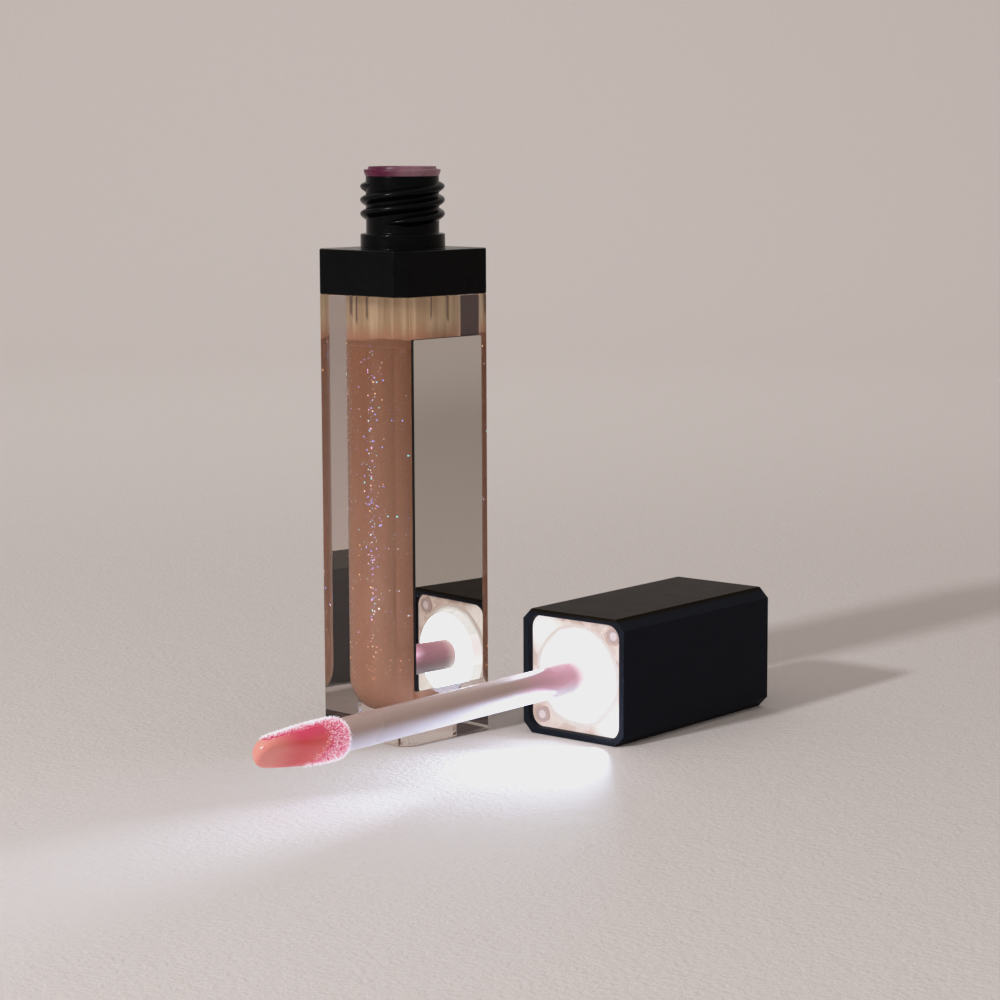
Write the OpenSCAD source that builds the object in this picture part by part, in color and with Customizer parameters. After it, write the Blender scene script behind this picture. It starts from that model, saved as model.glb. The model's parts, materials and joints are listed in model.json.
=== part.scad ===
// Square lip gloss tube with a side mirror and a lighted cap.
// The bottle stands open. Its cap lies beside it with the applicator wand still in it.
// Millimetres, +Z up. The origin is the centre of the bottle's underside.

/* [Outline] */
// Width across the flats of the square bottle, collar and cap
body_w = 20; // [19.4:0.1:22]
// Width of the flat cut along each long edge, measured along the side
edge_cut = 1.7; // [1.2:0.1:2.4]
// Turn of the bottle about its own axis, against the lying cap, in degrees
bottle_turn = 4.5; // [0:0.5:10]
// Distance of the cap's mouth from the bottle's axis
mouth_x = 10.4; // [10.4:0.1:30]
// Distance between the bottle's front face, were it not turned, and the lying cap
cap_beside = 5.4; // [3:0.2:20]

/* [Bottle] */
// Height of the clear body, up to the underside of the collar
body_h = 69.5; // [60:0.5:80]
// Thickness of clear plastic between the round well and the flat sides
well_wall = 3; // [2.9:0.1:4.5]
// Thickness of clear plastic under the well
well_floor = 4; // [2:0.5:8]
// Radius of the rounding at the foot of the well
well_round = 5; // [3:0.25:5]
// Distance of the gloss surface below the underside of the collar
fill_drop = 7; // [4:0.5:30]
// Wall of the spigot that plugs into the collar
spigot_wall = 1.2; // [1:0.1:1.4]
// Height of the spigot above the clear body
spigot_h = 4.4; // [3:0.1:5]

/* [Collar and neck] */
// Height of the square collar
collar_h = 7; // [6:0.25:9]
// Height of the plain ring on top of the collar, as wide as the thread above it
ring_h = 2.3; // [1.5:0.1:3]
// Bevel along the top edge of the ring
ring_bevel = 0.25; // [0.1:0.05:0.4]
// Height of the screw thread on the neck
thread_h = 0.9; // [0.7:0.05:1]
// Height of the neck above the ring
neck_h = 8.85; // [8.4:0.05:10]
// Wall of the neck, at the root of its thread
neck_wall = 1; // [0.8:0.05:1.2]
// Clearance round the spigot in the collar
spigot_gap = 0.03; // [0.01:0.01:0.1]
// Clearance above the spigot in the collar
spigot_end_gap = 0.1; // [0.05:0.05:0.3]

/* [Wiper] */
// How far the flared rim stands out over the neck
wiper_flare = 0.27; // [0.1:0.01:0.5]
// Height of the rim above the neck
wiper_rim_h = 1.25; // [1:0.05:1.6]
// Height at which the rim is widest
wiper_flare_h = 0.7; // [0.5:0.05:0.8]
// Width of the rounding inside and outside the rim's top
wiper_round = 0.3; // [0.1:0.05:0.35]
// Wall of the rim at its mouth
wiper_rim_wall = 0.5; // [0.4:0.05:0.8]
// Wall of the wiper's tube
wiper_wall = 0.5; // [0.4:0.05:0.8]
// Length of the wiper below the rim
wiper_l = 11.5; // [9:0.25:12]
// Length of the cone at the wiper's foot
wiper_cone_l = 2.2; // [1.5:0.1:3]
// Radius of the hole that wipes the rod
orifice_r = 2.5; // [2.46:0.01:2.55]
// Length of the wiping lip
orifice_l = 1.2; // [0.8:0.1:1.6]
// Thickness of the wiping lip
orifice_lip = 0.7; // [0.4:0.1:1]

/* [Mirror] */
// Width of the mirror plate
mirror_w = 14.7; // [12:0.1:15]
// Height of the mirror plate
mirror_h = 54.4; // [45:0.2:56]
// Thickness of the mirror plate
mirror_t = 0.5; // [0.4:0.05:1]
// Height of the mirror's lower edge above the underside
mirror_low = 8.75; // [6:0.25:12]
// Sideways offset of the mirror from the middle of its face
mirror_shift = -0.8; // [-0.8:0.1:0.8]
// Thickness of the adhesive film behind the mirror
film_t = 0.12; // [0.08:0.01:0.2]
// Margin of the film inside the mirror's edge
film_margin = 0.5; // [0.2:0.1:1]

/* [Cap] */
// Wall of the cap's shell
cap_wall = 1; // [0.8:0.05:1.2]
// Thickness of the closed end
cap_end = 1.2; // [0.8:0.1:2]
// Radius of the shell's inner corners
cavity_round = 2.2; // [1.8:0.1:2.4]
// Clearance all round between the shell and what is pushed into it
insert_gap = 0.05; // [0.02:0.01:0.1]
// Depth of the light guide's face below the cap's rim
rim_step = 1.2; // [0.8:0.1:1.6]

/* [Socket] */
// Thickness of the light guide between the sleeve and the flat sides
sleeve_web = 0.8; // [0.6:0.05:1]
// Wall of the sleeve that takes the neck
sleeve_wall = 1.3; // [1.2:0.05:1.5]
// Clearance between the sleeve and the light guide
sleeve_gap = 0.05; // [0.02:0.01:0.1]
// Clearance round the bottle's ring in the sleeve's plain mouth
mouth_gap = 0.6; // [0.3:0.05:0.7]
// Depth of that plain mouth below the cap's rim
socket_mouth_l = 4.2; // [3.8:0.1:4.6]
// Radial clearance between the neck's thread and the socket's wall
thread_gap = 0.25; // [0.15:0.05:0.3]
// Overlap of the lip that keeps the pressure plate in
retainer_lap = 0.35; // [0.2:0.05:0.45]
// Thickness of that lip
retainer_t = 0.5; // [0.4:0.05:0.8]

/* [Automatic switch] */
// Travel of the pressure plate when the cap is screwed home
switch_travel = 0.6; // [0.4:0.05:0.7]
// Thickness of the foam liner that seals on the wiper
liner_t = 0.8; // [0.5:0.1:1]
// Thickness of the pressure plate
plate_t = 0.8; // [0.6:0.1:1]
// Clearance round the pressure plate and the liner in the sleeve
plate_side_gap = 0.25; // [0.15:0.05:0.3]
// Running clearance of the plate on the rod
plate_gap = 0.07; // [0.03:0.01:0.1]
// Room for the return spring between the plate and the holder
spring_room = 1.8; // [1.7:0.1:2.2]
// Wire diameter of the return spring
return_wire = 0.3; // [0.2:0.05:0.35]
// Clearance of the return spring round the rod
return_gap = 0.9; // [0.3:0.1:1]
// Turns of the return spring
return_turns = 2.5; // [2:0.5:2.5]
// Radius of the peg on the plate that works the switch
peg_r = 0.7; // [0.5:0.05:0.8]
// Clearance between the return spring and the peg
peg_gap = 0.65; // [0.65:0.05:0.8]
// Width of the square switch
switch_w = 3; // [2.8:0.1:3.2]
// Height of the switch body on the board
switch_h = 1.4; // [1.3:0.1:1.5]
// Clearance round the switch in the holder's pocket
pocket_gap = 0.1; // [0.05:0.05:0.2]
// Radius of the switch's button
button_r = 0.6; // [0.4:0.05:0.7]
// Running clearance of the button in the switch
button_gap = 0.05; // [0.02:0.01:0.1]
// How far the button stands out of the switch when it is pressed
button_proud = 0.1; // [0.05:0.05:0.2]
// Thickness of the floor under the button's hole
button_floor = 0.1; // [0.05:0.05:0.2]

/* [Rod and tip] */
// Radius of the applicator rod
rod_r = 2.45; // [2.3:0.05:2.45]
// Distance of the tip above the well's floor when the cap is on
tip_above = 2.8; // [1:0.1:10]
// Length of the flocked tip
tip_l = 18; // [14:0.5:20]
// Largest radius of the tip
tip_r = 2.9; // [2.6:0.05:3]
// Length of the tip's straight part next to the rod
tip_straight = 8; // [6:0.5:9]
// Bevel where the tip meets the rod
tip_bevel = 0.7; // [0.3:0.1:1]
// Radius of the tip's round nose
nose_r = 2.5; // [2:0.05:2.6]
// Distance of the applying face's upper end from the rod
face_start = 4.5; // [3:0.25:8]
// Slant of the applying face, in degrees
face_slant = 11.5; // [8:0.5:13]
// Turn of the applying face below the level, in degrees
face_turn = 35; // [0:5:60]
// Radius of the rod's spigot inside the tip
tip_spigot_r = 1.4; // [1:0.05:1.5]
// Length of that spigot
tip_spigot_l = 6; // [4:0.5:8]
// Clearance of a pressed-in piece
press_gap = 0.01; // [0.005:0.005:0.02]
// How far the head that stops the rod stands out over it
rod_head_w = 0.65; // [0.4:0.05:0.8]
// Thickness of that head
rod_head_t = 0.9; // [0.6:0.1:1.2]

/* [Holder, board and lights] */
// Thickness of the rod holder's flange
flange_t = 2; // [1.9:0.1:2.4]
// Wall of the rod holder's boss
boss_wall = 0.85; // [0.75:0.05:0.9]
// Length of that boss behind the flange
boss_l = 3.6; // [3:0.1:4]
// Thickness of the circuit board
board_t = 0.8; // [0.6:0.1:1]
// Clearance of the board round the boss
board_gap = 0.1; // [0.05:0.05:0.3]
// Distance of each light's centre from the two sides of the insert
led_edge = 2.15; // [2.1:0.05:2.3]
// Width of the square base of a light
led_w = 2.4; // [2:0.1:2.4]
// Thickness of that base
led_base_t = 0.6; // [0.4:0.1:0.7]
// Radius of a light's dome
led_r = 1.1; // [0.8:0.05:1.15]
// Clearance round a light in its window
window_gap = 0.1; // [0.05:0.05:0.15]
// Radius of the two fixing pins
pin_r = 1.25; // [1:0.05:1.3]
// Distance of each pin's centre from the two sides of the insert
pin_edge = 1.9; // [1.85:0.05:2]
// Clearance of the pins in their holes
pin_gap = 0.05; // [0.02:0.01:0.08]
// Depth of the pins in the battery holder
pin_grip = 3; // [2:0.5:4]
// Width of the recess round each pin in the light guide's face
recess_w = 0.35; // [0.2:0.05:0.4]
// Depth of that recess
recess_t = 0.5; // [0.3:0.1:0.8]

/* [Battery] */
// Radius of a button cell
cell_r = 3.95; // [3.8:0.05:4]
// Height of a button cell
cell_h = 3.6; // [3:0.1:3.6]
// Bevel of a cell's can and width of its crimped rim
cell_bevel = 0.3; // [0.2:0.05:0.4]
// Clearance round the cells
cell_gap = 0.15; // [0.05:0.05:0.2]
// Width of the ledge in the battery holder that the front contact rests on
holder_ledge = 0.4; // [0.3:0.05:0.5]
// Room between the rod's head and the front contact
head_room = 0.8; // [0.4:0.1:1]
// Thickness of the contact strips
contact_t = 0.3; // [0.2:0.05:0.4]
// Width of the contact strips
contact_w = 2.4; // [1.8:0.1:2.8]
// Distance of the contact strips from the bore for the cells
strip_gap = 0.3; // [0.2:0.05:0.5]
// Clearance round the contact strips in their slots
slot_gap = 0.2; // [0.1:0.05:0.3]
// Length of the battery spring between the last cell and the rear contact
cell_spring_l = 4.3; // [3:0.1:8]
// Wire diameter of the battery spring
cell_wire = 0.45; // [0.3:0.05:0.5]
// Radius of the battery spring at the last cell
cell_spring_r = 2.1; // [1.5:0.1:2.8]
// Radius of the battery spring at the rear contact
cell_spring_base_r = 3.2; // [2.8:0.1:3.4]
// Turns of the battery spring
cell_spring_turns = 4; // [3:0.5:5]

/* [Hidden] */
$fn = 64;
cell_count = 3;
coil_sides = 6;
coil_steps = 20;
arc_steps = 12;
// how far a cut runs past a face, and how far joined solids sink into each other
over = 1;
eps = 0.01;

// Widths inside the cap, from its shell inwards.
half_w = body_w / 2;
cavity_w = body_w - 2 * cap_wall;
insert_w = cavity_w - 2 * insert_gap;
insert_round = cavity_round - insert_gap;
led_off = insert_w / 2 - led_edge;
pin_off = insert_w / 2 - pin_edge;
pin_hole_r = pin_r + pin_gap;
sleeve_r = insert_w / 2 - sleeve_web;
socket_r = sleeve_r - sleeve_wall;
plate_r = socket_r - plate_side_gap;
cell_bore_r = cell_r + cell_gap;
strip_r = cell_bore_r + strip_gap + contact_t;
slot_w = contact_w + 2 * slot_gap;

// Widths from the rod outwards.
boss_r = rod_r + press_gap + boss_wall;
return_r = rod_r + return_gap + return_wire / 2;
switch_off = return_r + return_wire / 2 + peg_gap + peg_r;

// Widths of the bottle and its neck, which the socket takes.
well_r = half_w - well_wall;
spigot_r = well_r + spigot_wall;
ring_r = socket_r - thread_gap;
neck_r = ring_r - thread_h;
neck_bore_r = neck_r - neck_wall;
wiper_tube_r = neck_bore_r - press_gap;
wiper_bore_r = wiper_tube_r - wiper_wall;
wiper_rim_r = neck_r + wiper_flare;
wiper_mouth_r = neck_r - wiper_rim_wall;

// Heights on the bottle.
collar_top = body_h + collar_h;
ring_top = collar_top + ring_h;
neck_top = ring_top + neck_h;
wiper_foot = neck_top - wiper_l;

// Depths in the cap, from its mouth towards its closed end.
seal_z = ring_h + neck_h + wiper_rim_h;
liner_z = seal_z - switch_travel;
plate_z = liner_z + liner_t;
plate_back = plate_z + plate_t;
flange_z = plate_back + spring_room;
board_z = flange_z + flange_t;
holder_z = board_z + board_t;
head_z = board_z + boss_l;
contact_z = head_z + rod_head_t + head_room;
cells_z = contact_z + contact_t;
cells_end = cells_z + cell_count * cell_h;
rear_contact_z = cells_end + cell_spring_l;
cavity_end = rear_contact_z + contact_t;
cap_l = cavity_end + cap_end;
switch_z = board_z - switch_h;
button_z = switch_z - button_proud - switch_travel;

// The wand reaches out of the cap's mouth, so its end lies at a negative depth.
wand_l = collar_top - well_floor - tip_above;
tip_z = tip_l - wand_l;

// ---------- shared outlines ----------

// Square with its four corners cut at 45 degrees.
module cut_square(w, cut) {
    h = w / 2;
    polygon([[h, cut - h], [h, h - cut], [h - cut, h], [cut - h, h],
        [-h, h - cut], [-h, cut - h], [cut - h, -h], [h - cut, -h]]);
}

// Square with round corners.
module round_square(w, r) {
    h = w / 2 - r;
    square([w, 2 * h], center = true);
    square([2 * h, w], center = true);
    for (x = [-h, h], y = [-h, h]) translate([x, y]) circle(r);
}

// Points along an arc.
function arc(cx, cy, r, from, to) = [for (i = [0 : arc_steps])
    let (a = from + (to - from) * i / arc_steps) [cx + r * cos(a), cy + r * sin(a)]];

// Half outline of the gloss well, from its foot up to height top.
function well_outline(top) = concat([[0, well_floor]],
    arc(well_r - well_round, well_floor + well_round, well_round, -90, 0),
    [[well_r, top], [0, top]]);

// Stands the bottle's pieces in place.
module standing() {
    rotate([0, 0, -bottle_turn]) children();
}

// Lays the cap's pieces down: z runs into the cap, x is away from the front, y is up.
module lying() {
    translate([mouth_x, -body_w - cap_beside, half_w]) rotate([90, 0, 90]) children();
}

// Layer of the square insert between two depths of the cap.
module insert_layer(from, to) {
    translate([0, 0, from]) linear_extrude(to - from) round_square(insert_w, insert_round);
}

// Places its child at the two corners that hold the fixing pins.
module at_pins() {
    for (s = [-1, 1]) translate([s * pin_off, -s * pin_off, 0]) children();
}

// Places its child at the two corners that hold the lights.
module at_lights() {
    for (s = [-1, 1]) translate([s * led_off, s * led_off, 0]) children();
}

// ---------- coil springs ----------

// Triangles of a closed sweep of rings, each with k points that run anticlockwise round it.
function sweep_faces(rings, k) = concat(
    [[for (j = [k - 1 : -1 : 0]) j]],
    [for (i = [0 : rings - 2], j = [0 : k - 1], half = [0, 1])
        let (a = i * k + j, b = i * k + (j + 1) % k)
            half == 0 ? [a, b + k, a + k] : [a, b, b + k]],
    [[for (j = [0 : k - 1]) (rings - 1) * k + j]]);

// Coil of round wire between the depths z0 and z1, from radius r0 to radius r1.
module coil(r0, r1, wire, z0, z1, turns) {
    steps = turns * coil_steps;
    rise = z1 - z0 - wire;
    points = [for (i = [0 : steps], j = [0 : coil_sides - 1])
        let (t = i / steps, a = 360 * turns * t, b = 360 * j / coil_sides,
            r = r0 + (r1 - r0) * t + wire / 2 * cos(b))
        [r * cos(a), r * sin(a), z0 + wire / 2 + rise * t + wire / 2 * sin(b)]];
    polyhedron(points = points, faces = sweep_faces(steps + 1, coil_sides), convexity = 10);
}

// ---------- bottle ----------

// Thick clear block with a round-footed well and a spigot for the collar.
module bottle_body() {
    color([0.93, 0.92, 0.92, 0.35]) standing() difference() {
        union() {
            linear_extrude(body_h) cut_square(body_w, edge_cut);
            cylinder(r = spigot_r, h = body_h + spigot_h);
        }
        rotate_extrude() polygon(well_outline(body_h + spigot_h + over));
    }
}

// The gloss itself, filling the well up to its level.
module gloss_fill() {
    color([0.66, 0.45, 0.38]) standing() rotate_extrude() polygon(well_outline(body_h - fill_drop));
}

// Square collar, plain ring and neck in one moulding. The neck is drawn at its thread's root.
module neck_collar() {
    color([0.03, 0.03, 0.035]) standing() difference() {
        union() {
            translate([0, 0, body_h]) linear_extrude(collar_h) cut_square(body_w, edge_cut);
            rotate_extrude() polygon([[0, body_h], [ring_r, body_h], [ring_r, ring_top - ring_bevel],
                [ring_r - ring_bevel, ring_top], [neck_r, ring_top], [neck_r, neck_top], [0, neck_top]]);
        }
        cylinder(r = spigot_r + spigot_gap, h = body_h + spigot_h + spigot_end_gap);
        cylinder(r = neck_bore_r, h = neck_top + over);
    }
}

// Soft wiper: a flared rim on the neck, a tube down it and a lip round the orifice.
module wiper() {
    rim_top = neck_top + wiper_rim_h;
    color([0.75, 0.16, 0.42, 0.7]) standing() rotate_extrude() polygon([
        [orifice_r, wiper_foot], [orifice_r + orifice_lip, wiper_foot],
        [wiper_tube_r, wiper_foot + wiper_cone_l], [wiper_tube_r, neck_top], [neck_r, neck_top],
        [wiper_rim_r, neck_top + wiper_flare_h], [wiper_rim_r, rim_top - wiper_round],
        [wiper_mouth_r + wiper_round, rim_top], [wiper_mouth_r, rim_top - wiper_round / 2],
        [wiper_bore_r, neck_top], [wiper_bore_r, wiper_foot + wiper_cone_l],
        [orifice_r, wiper_foot + orifice_l]]);
}

// Plate on the bottle's front right face, between two depths of the stack and inside a margin.
module face_plate(from, to, margin) {
    translate([mirror_shift - mirror_w / 2 + margin, -half_w - to, mirror_low + margin])
        cube([mirror_w - 2 * margin, to - from, mirror_h - 2 * margin]);
}

// Mirror plate standing on the bottle's front right face.
module mirror_plate() {
    color([0.75, 0.76, 0.78]) standing() face_plate(film_t, film_t + mirror_t, 0);
}

// Adhesive film between the mirror and the bottle.
module mirror_film() {
    color([0.12, 0.12, 0.12]) standing() face_plate(0, film_t, film_margin);
}

// ---------- cap ----------

// Square shell with a closed far end.
module cap_shell() {
    color([0.03, 0.03, 0.035]) lying() difference() {
        linear_extrude(cap_l) cut_square(body_w, edge_cut);
        translate([0, 0, -over]) linear_extrude(cavity_end + over) round_square(cavity_w, cavity_round);
    }
}

// Clear block that carries the light from the two lamps to the cap's mouth.
module light_guide() {
    color([0.9, 0.9, 0.95, 0.5]) lying() difference() {
        insert_layer(rim_step, flange_z);
        cylinder(r = sleeve_r + sleeve_gap, h = cap_l);
        at_pins() cylinder(r = pin_hole_r, h = cap_l);
        at_pins() cylinder(r = pin_r + recess_w, h = rim_step + recess_t);
    }
}

// White sleeve that takes the neck, with a lip that retains the pressure plate.
module neck_socket() {
    color([0.95, 0.95, 0.97, 0.8]) lying() difference() {
        translate([0, 0, rim_step]) cylinder(r = sleeve_r, h = flange_z - rim_step);
        cylinder(r = ring_r + mouth_gap, h = socket_mouth_l);
        cylinder(r = socket_r, h = liner_z - retainer_t);
        cylinder(r = plate_r - retainer_lap, h = cap_l);
        translate([0, 0, liner_z]) cylinder(r = socket_r, h = cap_l);
    }
}

// Disc that slides on the rod, from depth z.
module sliding_disc(z, t) {
    translate([0, 0, z]) difference() {
        cylinder(r = plate_r, h = t);
        translate([0, 0, -over]) cylinder(r = rod_r + plate_gap, h = t + 2 * over);
    }
}

// Foam ring that seals on the wiper's rim.
module sealing_liner() {
    color([0.92, 0.92, 0.9]) lying() sliding_disc(liner_z, liner_t);
}

// Plate behind the liner: the bottle's neck pushes it, and its peg works the switch.
module pressure_plate() {
    color([0.85, 0.86, 0.88]) lying() {
        sliding_disc(plate_z, plate_t);
        translate([switch_off, 0, plate_back - eps]) cylinder(r = peg_r, h = button_z - plate_back + eps);
    }
}

// Coil spring that pushes the plate back out when the cap comes off.
module return_spring() {
    color([0.7, 0.7, 0.72]) lying()
        coil(return_r, return_r, return_wire, plate_back, flange_z, return_turns);
}

// Flange and boss that grip the rod and close the sleeve.
module rod_holder() {
    pocket = switch_w + 2 * pocket_gap;
    color([0.9, 0.9, 0.9]) lying() difference() {
        union() {
            insert_layer(flange_z, board_z);
            translate([0, 0, flange_z]) cylinder(r = boss_r, h = head_z - flange_z);
        }
        cylinder(r = rod_r + press_gap, h = cap_l);
        at_lights() cylinder(r = led_w / sqrt(2) + window_gap, h = cap_l);
        at_pins() cylinder(r = pin_hole_r, h = cap_l);
        translate([switch_off - pocket / 2, -pocket / 2, 0]) cube([pocket, pocket, cap_l]);
    }
}

// Rod of the wand, with a stopper head at one end and a spigot for the tip at the other.
module applicator_rod() {
    color([0.85, 0.82, 0.83, 0.8]) lying() {
        translate([0, 0, tip_z]) cylinder(r = rod_r, h = head_z - tip_z);
        translate([0, 0, tip_z - tip_spigot_l]) cylinder(r = tip_spigot_r, h = tip_spigot_l + eps);
        translate([0, 0, head_z]) cylinder(r = rod_r + rod_head_w, h = rod_head_t);
    }
}

// Doe-foot tip: a round body that narrows to a nose, with a slanted applying face.
module applicator_tip() {
    block = 2 * tip_l;
    color([0.85, 0.35, 0.4]) lying() difference() {
        rotate_extrude() polygon(concat([[0, tip_z], [tip_r - tip_bevel, tip_z],
            [tip_r, tip_z - tip_bevel], [tip_r, tip_z - tip_straight]],
            arc(0, nose_r - wand_l, nose_r, 0, -90)));
        translate([0, 0, tip_z - tip_spigot_l - press_gap])
            cylinder(r = tip_spigot_r + press_gap, h = tip_l);
        // the applying face leaves the shoulder whole and about half of the nose
        rotate([0, 0, face_turn]) translate([-tip_r, 0, tip_z - face_start])
            rotate([0, -face_slant, 0]) translate([-block, -block / 2, -block])
                cube([block, block, 1.5 * block]);
    }
}

// Two clear pins that hold light guide, rod holder, board and battery holder together.
module fixing_pins() {
    color([0.88, 0.88, 0.92, 0.6]) lying() at_pins()
        translate([0, 0, rim_step]) cylinder(r = pin_r, h = holder_z + pin_grip - rim_step);
}

// Board that carries the lights and the switch.
module circuit_board() {
    color([0.1, 0.35, 0.2]) lying() difference() {
        insert_layer(board_z, holder_z);
        cylinder(r = boss_r + board_gap, h = cap_l);
        at_pins() cylinder(r = pin_hole_r, h = cap_l);
    }
}

// Two surface-mounted lights, each a square base with a dome.
module lights() {
    base_z = board_z - led_base_t;
    color([0.98, 0.97, 0.9]) lying() at_lights() {
        translate([-led_w / 2, -led_w / 2, base_z]) cube([led_w, led_w, led_base_t]);
        translate([0, 0, base_z + eps]) difference() {
            sphere(r = led_r);
            translate([-led_r, -led_r, 0]) cube(2 * led_r);
        }
    }
}

// Body of the switch on the board.
module switch_body() {
    color([0.2, 0.2, 0.22]) lying() translate([switch_off, 0, switch_z]) difference() {
        translate([-switch_w / 2, -switch_w / 2, 0]) cube([switch_w, switch_w, switch_h]);
        translate([0, 0, -over]) cylinder(r = button_r + button_gap, h = switch_h - button_floor + over);
    }
}

// Button of the switch, pushed by the plate's peg.
module switch_button() {
    button_end = board_z - button_floor - button_gap - switch_travel;
    color([0.8, 0.2, 0.15]) lying() translate([switch_off, 0, button_z])
        cylinder(r = button_r, h = button_end - button_z);
}

// ---------- battery ----------

// Block with a round bore for the cells and slots for the contact strips.
module battery_holder() {
    slot_r = strip_r + slot_gap;
    color([0.82, 0.82, 0.84]) lying() difference() {
        insert_layer(holder_z, cavity_end);
        cylinder(r = cell_bore_r - holder_ledge, h = cap_l);
        translate([0, 0, contact_z]) cylinder(r = cell_bore_r, h = cap_l);
        translate([-slot_r, -slot_w / 2, 0]) cube([slot_r, slot_w, cap_l]);
        translate([-slot_w / 2, -slot_r, 0]) cube([slot_w, slot_r, cells_z + slot_gap]);
        at_pins() cylinder(r = pin_hole_r, h = holder_z + pin_grip);
    }
}

// Contact strip along the cells, turned round the axis, with a tab to the middle at depth z.
module contact_strip(turn, z, from, to) {
    rotate([0, 0, turn]) {
        translate([0, -contact_w / 2, z]) cube([strip_r, contact_w, contact_t]);
        translate([strip_r - contact_t, -contact_w / 2, from]) cube([contact_t, contact_w, to - from]);
    }
}

// Disc on the first cell, with a strip forward to the board.
module front_contact() {
    color([0.85, 0.7, 0.35]) lying() {
        translate([0, 0, contact_z]) cylinder(r = cell_r, h = contact_t);
        contact_strip(-90, contact_z, holder_z, cells_z);
    }
}

// Disc behind the spring, with a strip along the cells to the board.
module rear_contact() {
    color([0.85, 0.7, 0.35]) lying() {
        translate([0, 0, rear_contact_z]) cylinder(r = cell_r, h = contact_t);
        contact_strip(180, rear_contact_z, holder_z, cavity_end);
    }
}

// Tapered coil spring that presses the cells together.
module battery_spring() {
    color([0.7, 0.7, 0.72]) lying() coil(cell_spring_r, cell_spring_base_r, cell_wire,
        cells_end, rear_contact_z, cell_spring_turns);
}

// One button cell: a can with a raised crimped cap.
module cell(i) {
    can_top = cell_h - cell_bevel;
    cap_r = cell_r - 2 * cell_bevel;
    color([0.78, 0.78, 0.8]) lying() translate([0, 0, cells_z + (i - 1) * cell_h])
        rotate_extrude() polygon([[0, 0], [cell_r - cell_bevel, 0], [cell_r, cell_bevel],
            [cell_r, can_top], [cap_r, can_top], [cap_r, cell_h], [0, cell_h]]);
}

bottle_body();
gloss_fill();
neck_collar();
wiper();
mirror_plate();
mirror_film();
cap_shell();
light_guide();
neck_socket();
sealing_liner();
pressure_plate();
return_spring();
rod_holder();
applicator_rod();
applicator_tip();
fixing_pins();
circuit_board();
lights();
switch_body();
switch_button();
battery_holder();
front_contact();
rear_contact();
battery_spring();
cell(1);  // cell_1
cell(2);  // cell_2
cell(3);  // cell_3
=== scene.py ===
import json
import math

import bmesh
import bpy
from mathutils import Matrix, Vector, noise

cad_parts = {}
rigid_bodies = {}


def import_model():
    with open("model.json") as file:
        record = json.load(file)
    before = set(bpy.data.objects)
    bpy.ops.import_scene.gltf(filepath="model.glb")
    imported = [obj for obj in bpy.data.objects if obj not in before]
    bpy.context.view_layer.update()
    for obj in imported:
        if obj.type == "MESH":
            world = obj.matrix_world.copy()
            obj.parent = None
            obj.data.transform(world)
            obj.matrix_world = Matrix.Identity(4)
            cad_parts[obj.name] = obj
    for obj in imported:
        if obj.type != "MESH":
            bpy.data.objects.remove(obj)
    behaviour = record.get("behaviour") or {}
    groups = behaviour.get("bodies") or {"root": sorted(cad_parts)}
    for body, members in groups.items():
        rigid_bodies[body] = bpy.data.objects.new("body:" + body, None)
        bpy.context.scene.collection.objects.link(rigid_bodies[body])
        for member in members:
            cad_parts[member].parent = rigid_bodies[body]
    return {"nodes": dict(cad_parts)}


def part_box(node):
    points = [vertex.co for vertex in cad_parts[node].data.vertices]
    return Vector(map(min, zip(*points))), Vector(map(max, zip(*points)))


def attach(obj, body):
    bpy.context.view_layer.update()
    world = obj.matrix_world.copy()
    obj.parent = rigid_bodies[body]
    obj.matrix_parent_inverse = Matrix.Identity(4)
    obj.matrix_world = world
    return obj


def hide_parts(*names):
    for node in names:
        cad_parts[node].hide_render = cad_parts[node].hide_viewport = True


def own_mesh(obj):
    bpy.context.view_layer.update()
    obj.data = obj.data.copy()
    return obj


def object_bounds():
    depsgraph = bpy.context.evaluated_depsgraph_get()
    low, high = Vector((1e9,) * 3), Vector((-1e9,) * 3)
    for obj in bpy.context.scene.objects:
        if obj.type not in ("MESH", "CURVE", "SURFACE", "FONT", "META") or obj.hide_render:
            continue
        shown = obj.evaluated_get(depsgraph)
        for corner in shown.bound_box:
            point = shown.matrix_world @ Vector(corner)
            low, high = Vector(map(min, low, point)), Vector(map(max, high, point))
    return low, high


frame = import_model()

cad_low, cad_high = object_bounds()

# ---------- The view ----------
# A long lens looks a little down on the open bottle and on the cap that lies beside it.
# Its roll is the small tilt of a camera held almost level.
LENS, SENSOR_WIDTH = 97.2, 36.0
VIEW_POINT, VIEW_WAY = (-0.3146, -0.2818, 0.0942), (0.768, 0.6404, 0)
VIEW_DOWN, VIEW_ROLL = math.radians(7.742), math.radians(-0.251)
camera = bpy.data.objects.new("camera", bpy.data.cameras.new("camera"))
bpy.context.scene.collection.objects.link(camera)
bpy.context.scene.camera = camera
camera.data.lens, camera.data.sensor_width = LENS, SENSOR_WIDTH
level = Vector(VIEW_WAY).normalized()
ahead = level * math.cos(VIEW_DOWN) - Vector((0, 0, math.sin(VIEW_DOWN)))
across = ahead.cross(Vector((0, 0, 1))).normalized()
upward = across.cross(ahead)
right = across * math.cos(VIEW_ROLL) + upward * math.sin(VIEW_ROLL)
top = upward * math.cos(VIEW_ROLL) - across * math.sin(VIEW_ROLL)
camera.matrix_world = (Matrix.Translation(VIEW_POINT)
                       @ Matrix((right, top, -ahead)).transposed().to_4x4())
bpy.context.scene.view_settings.view_transform = "Standard"

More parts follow.
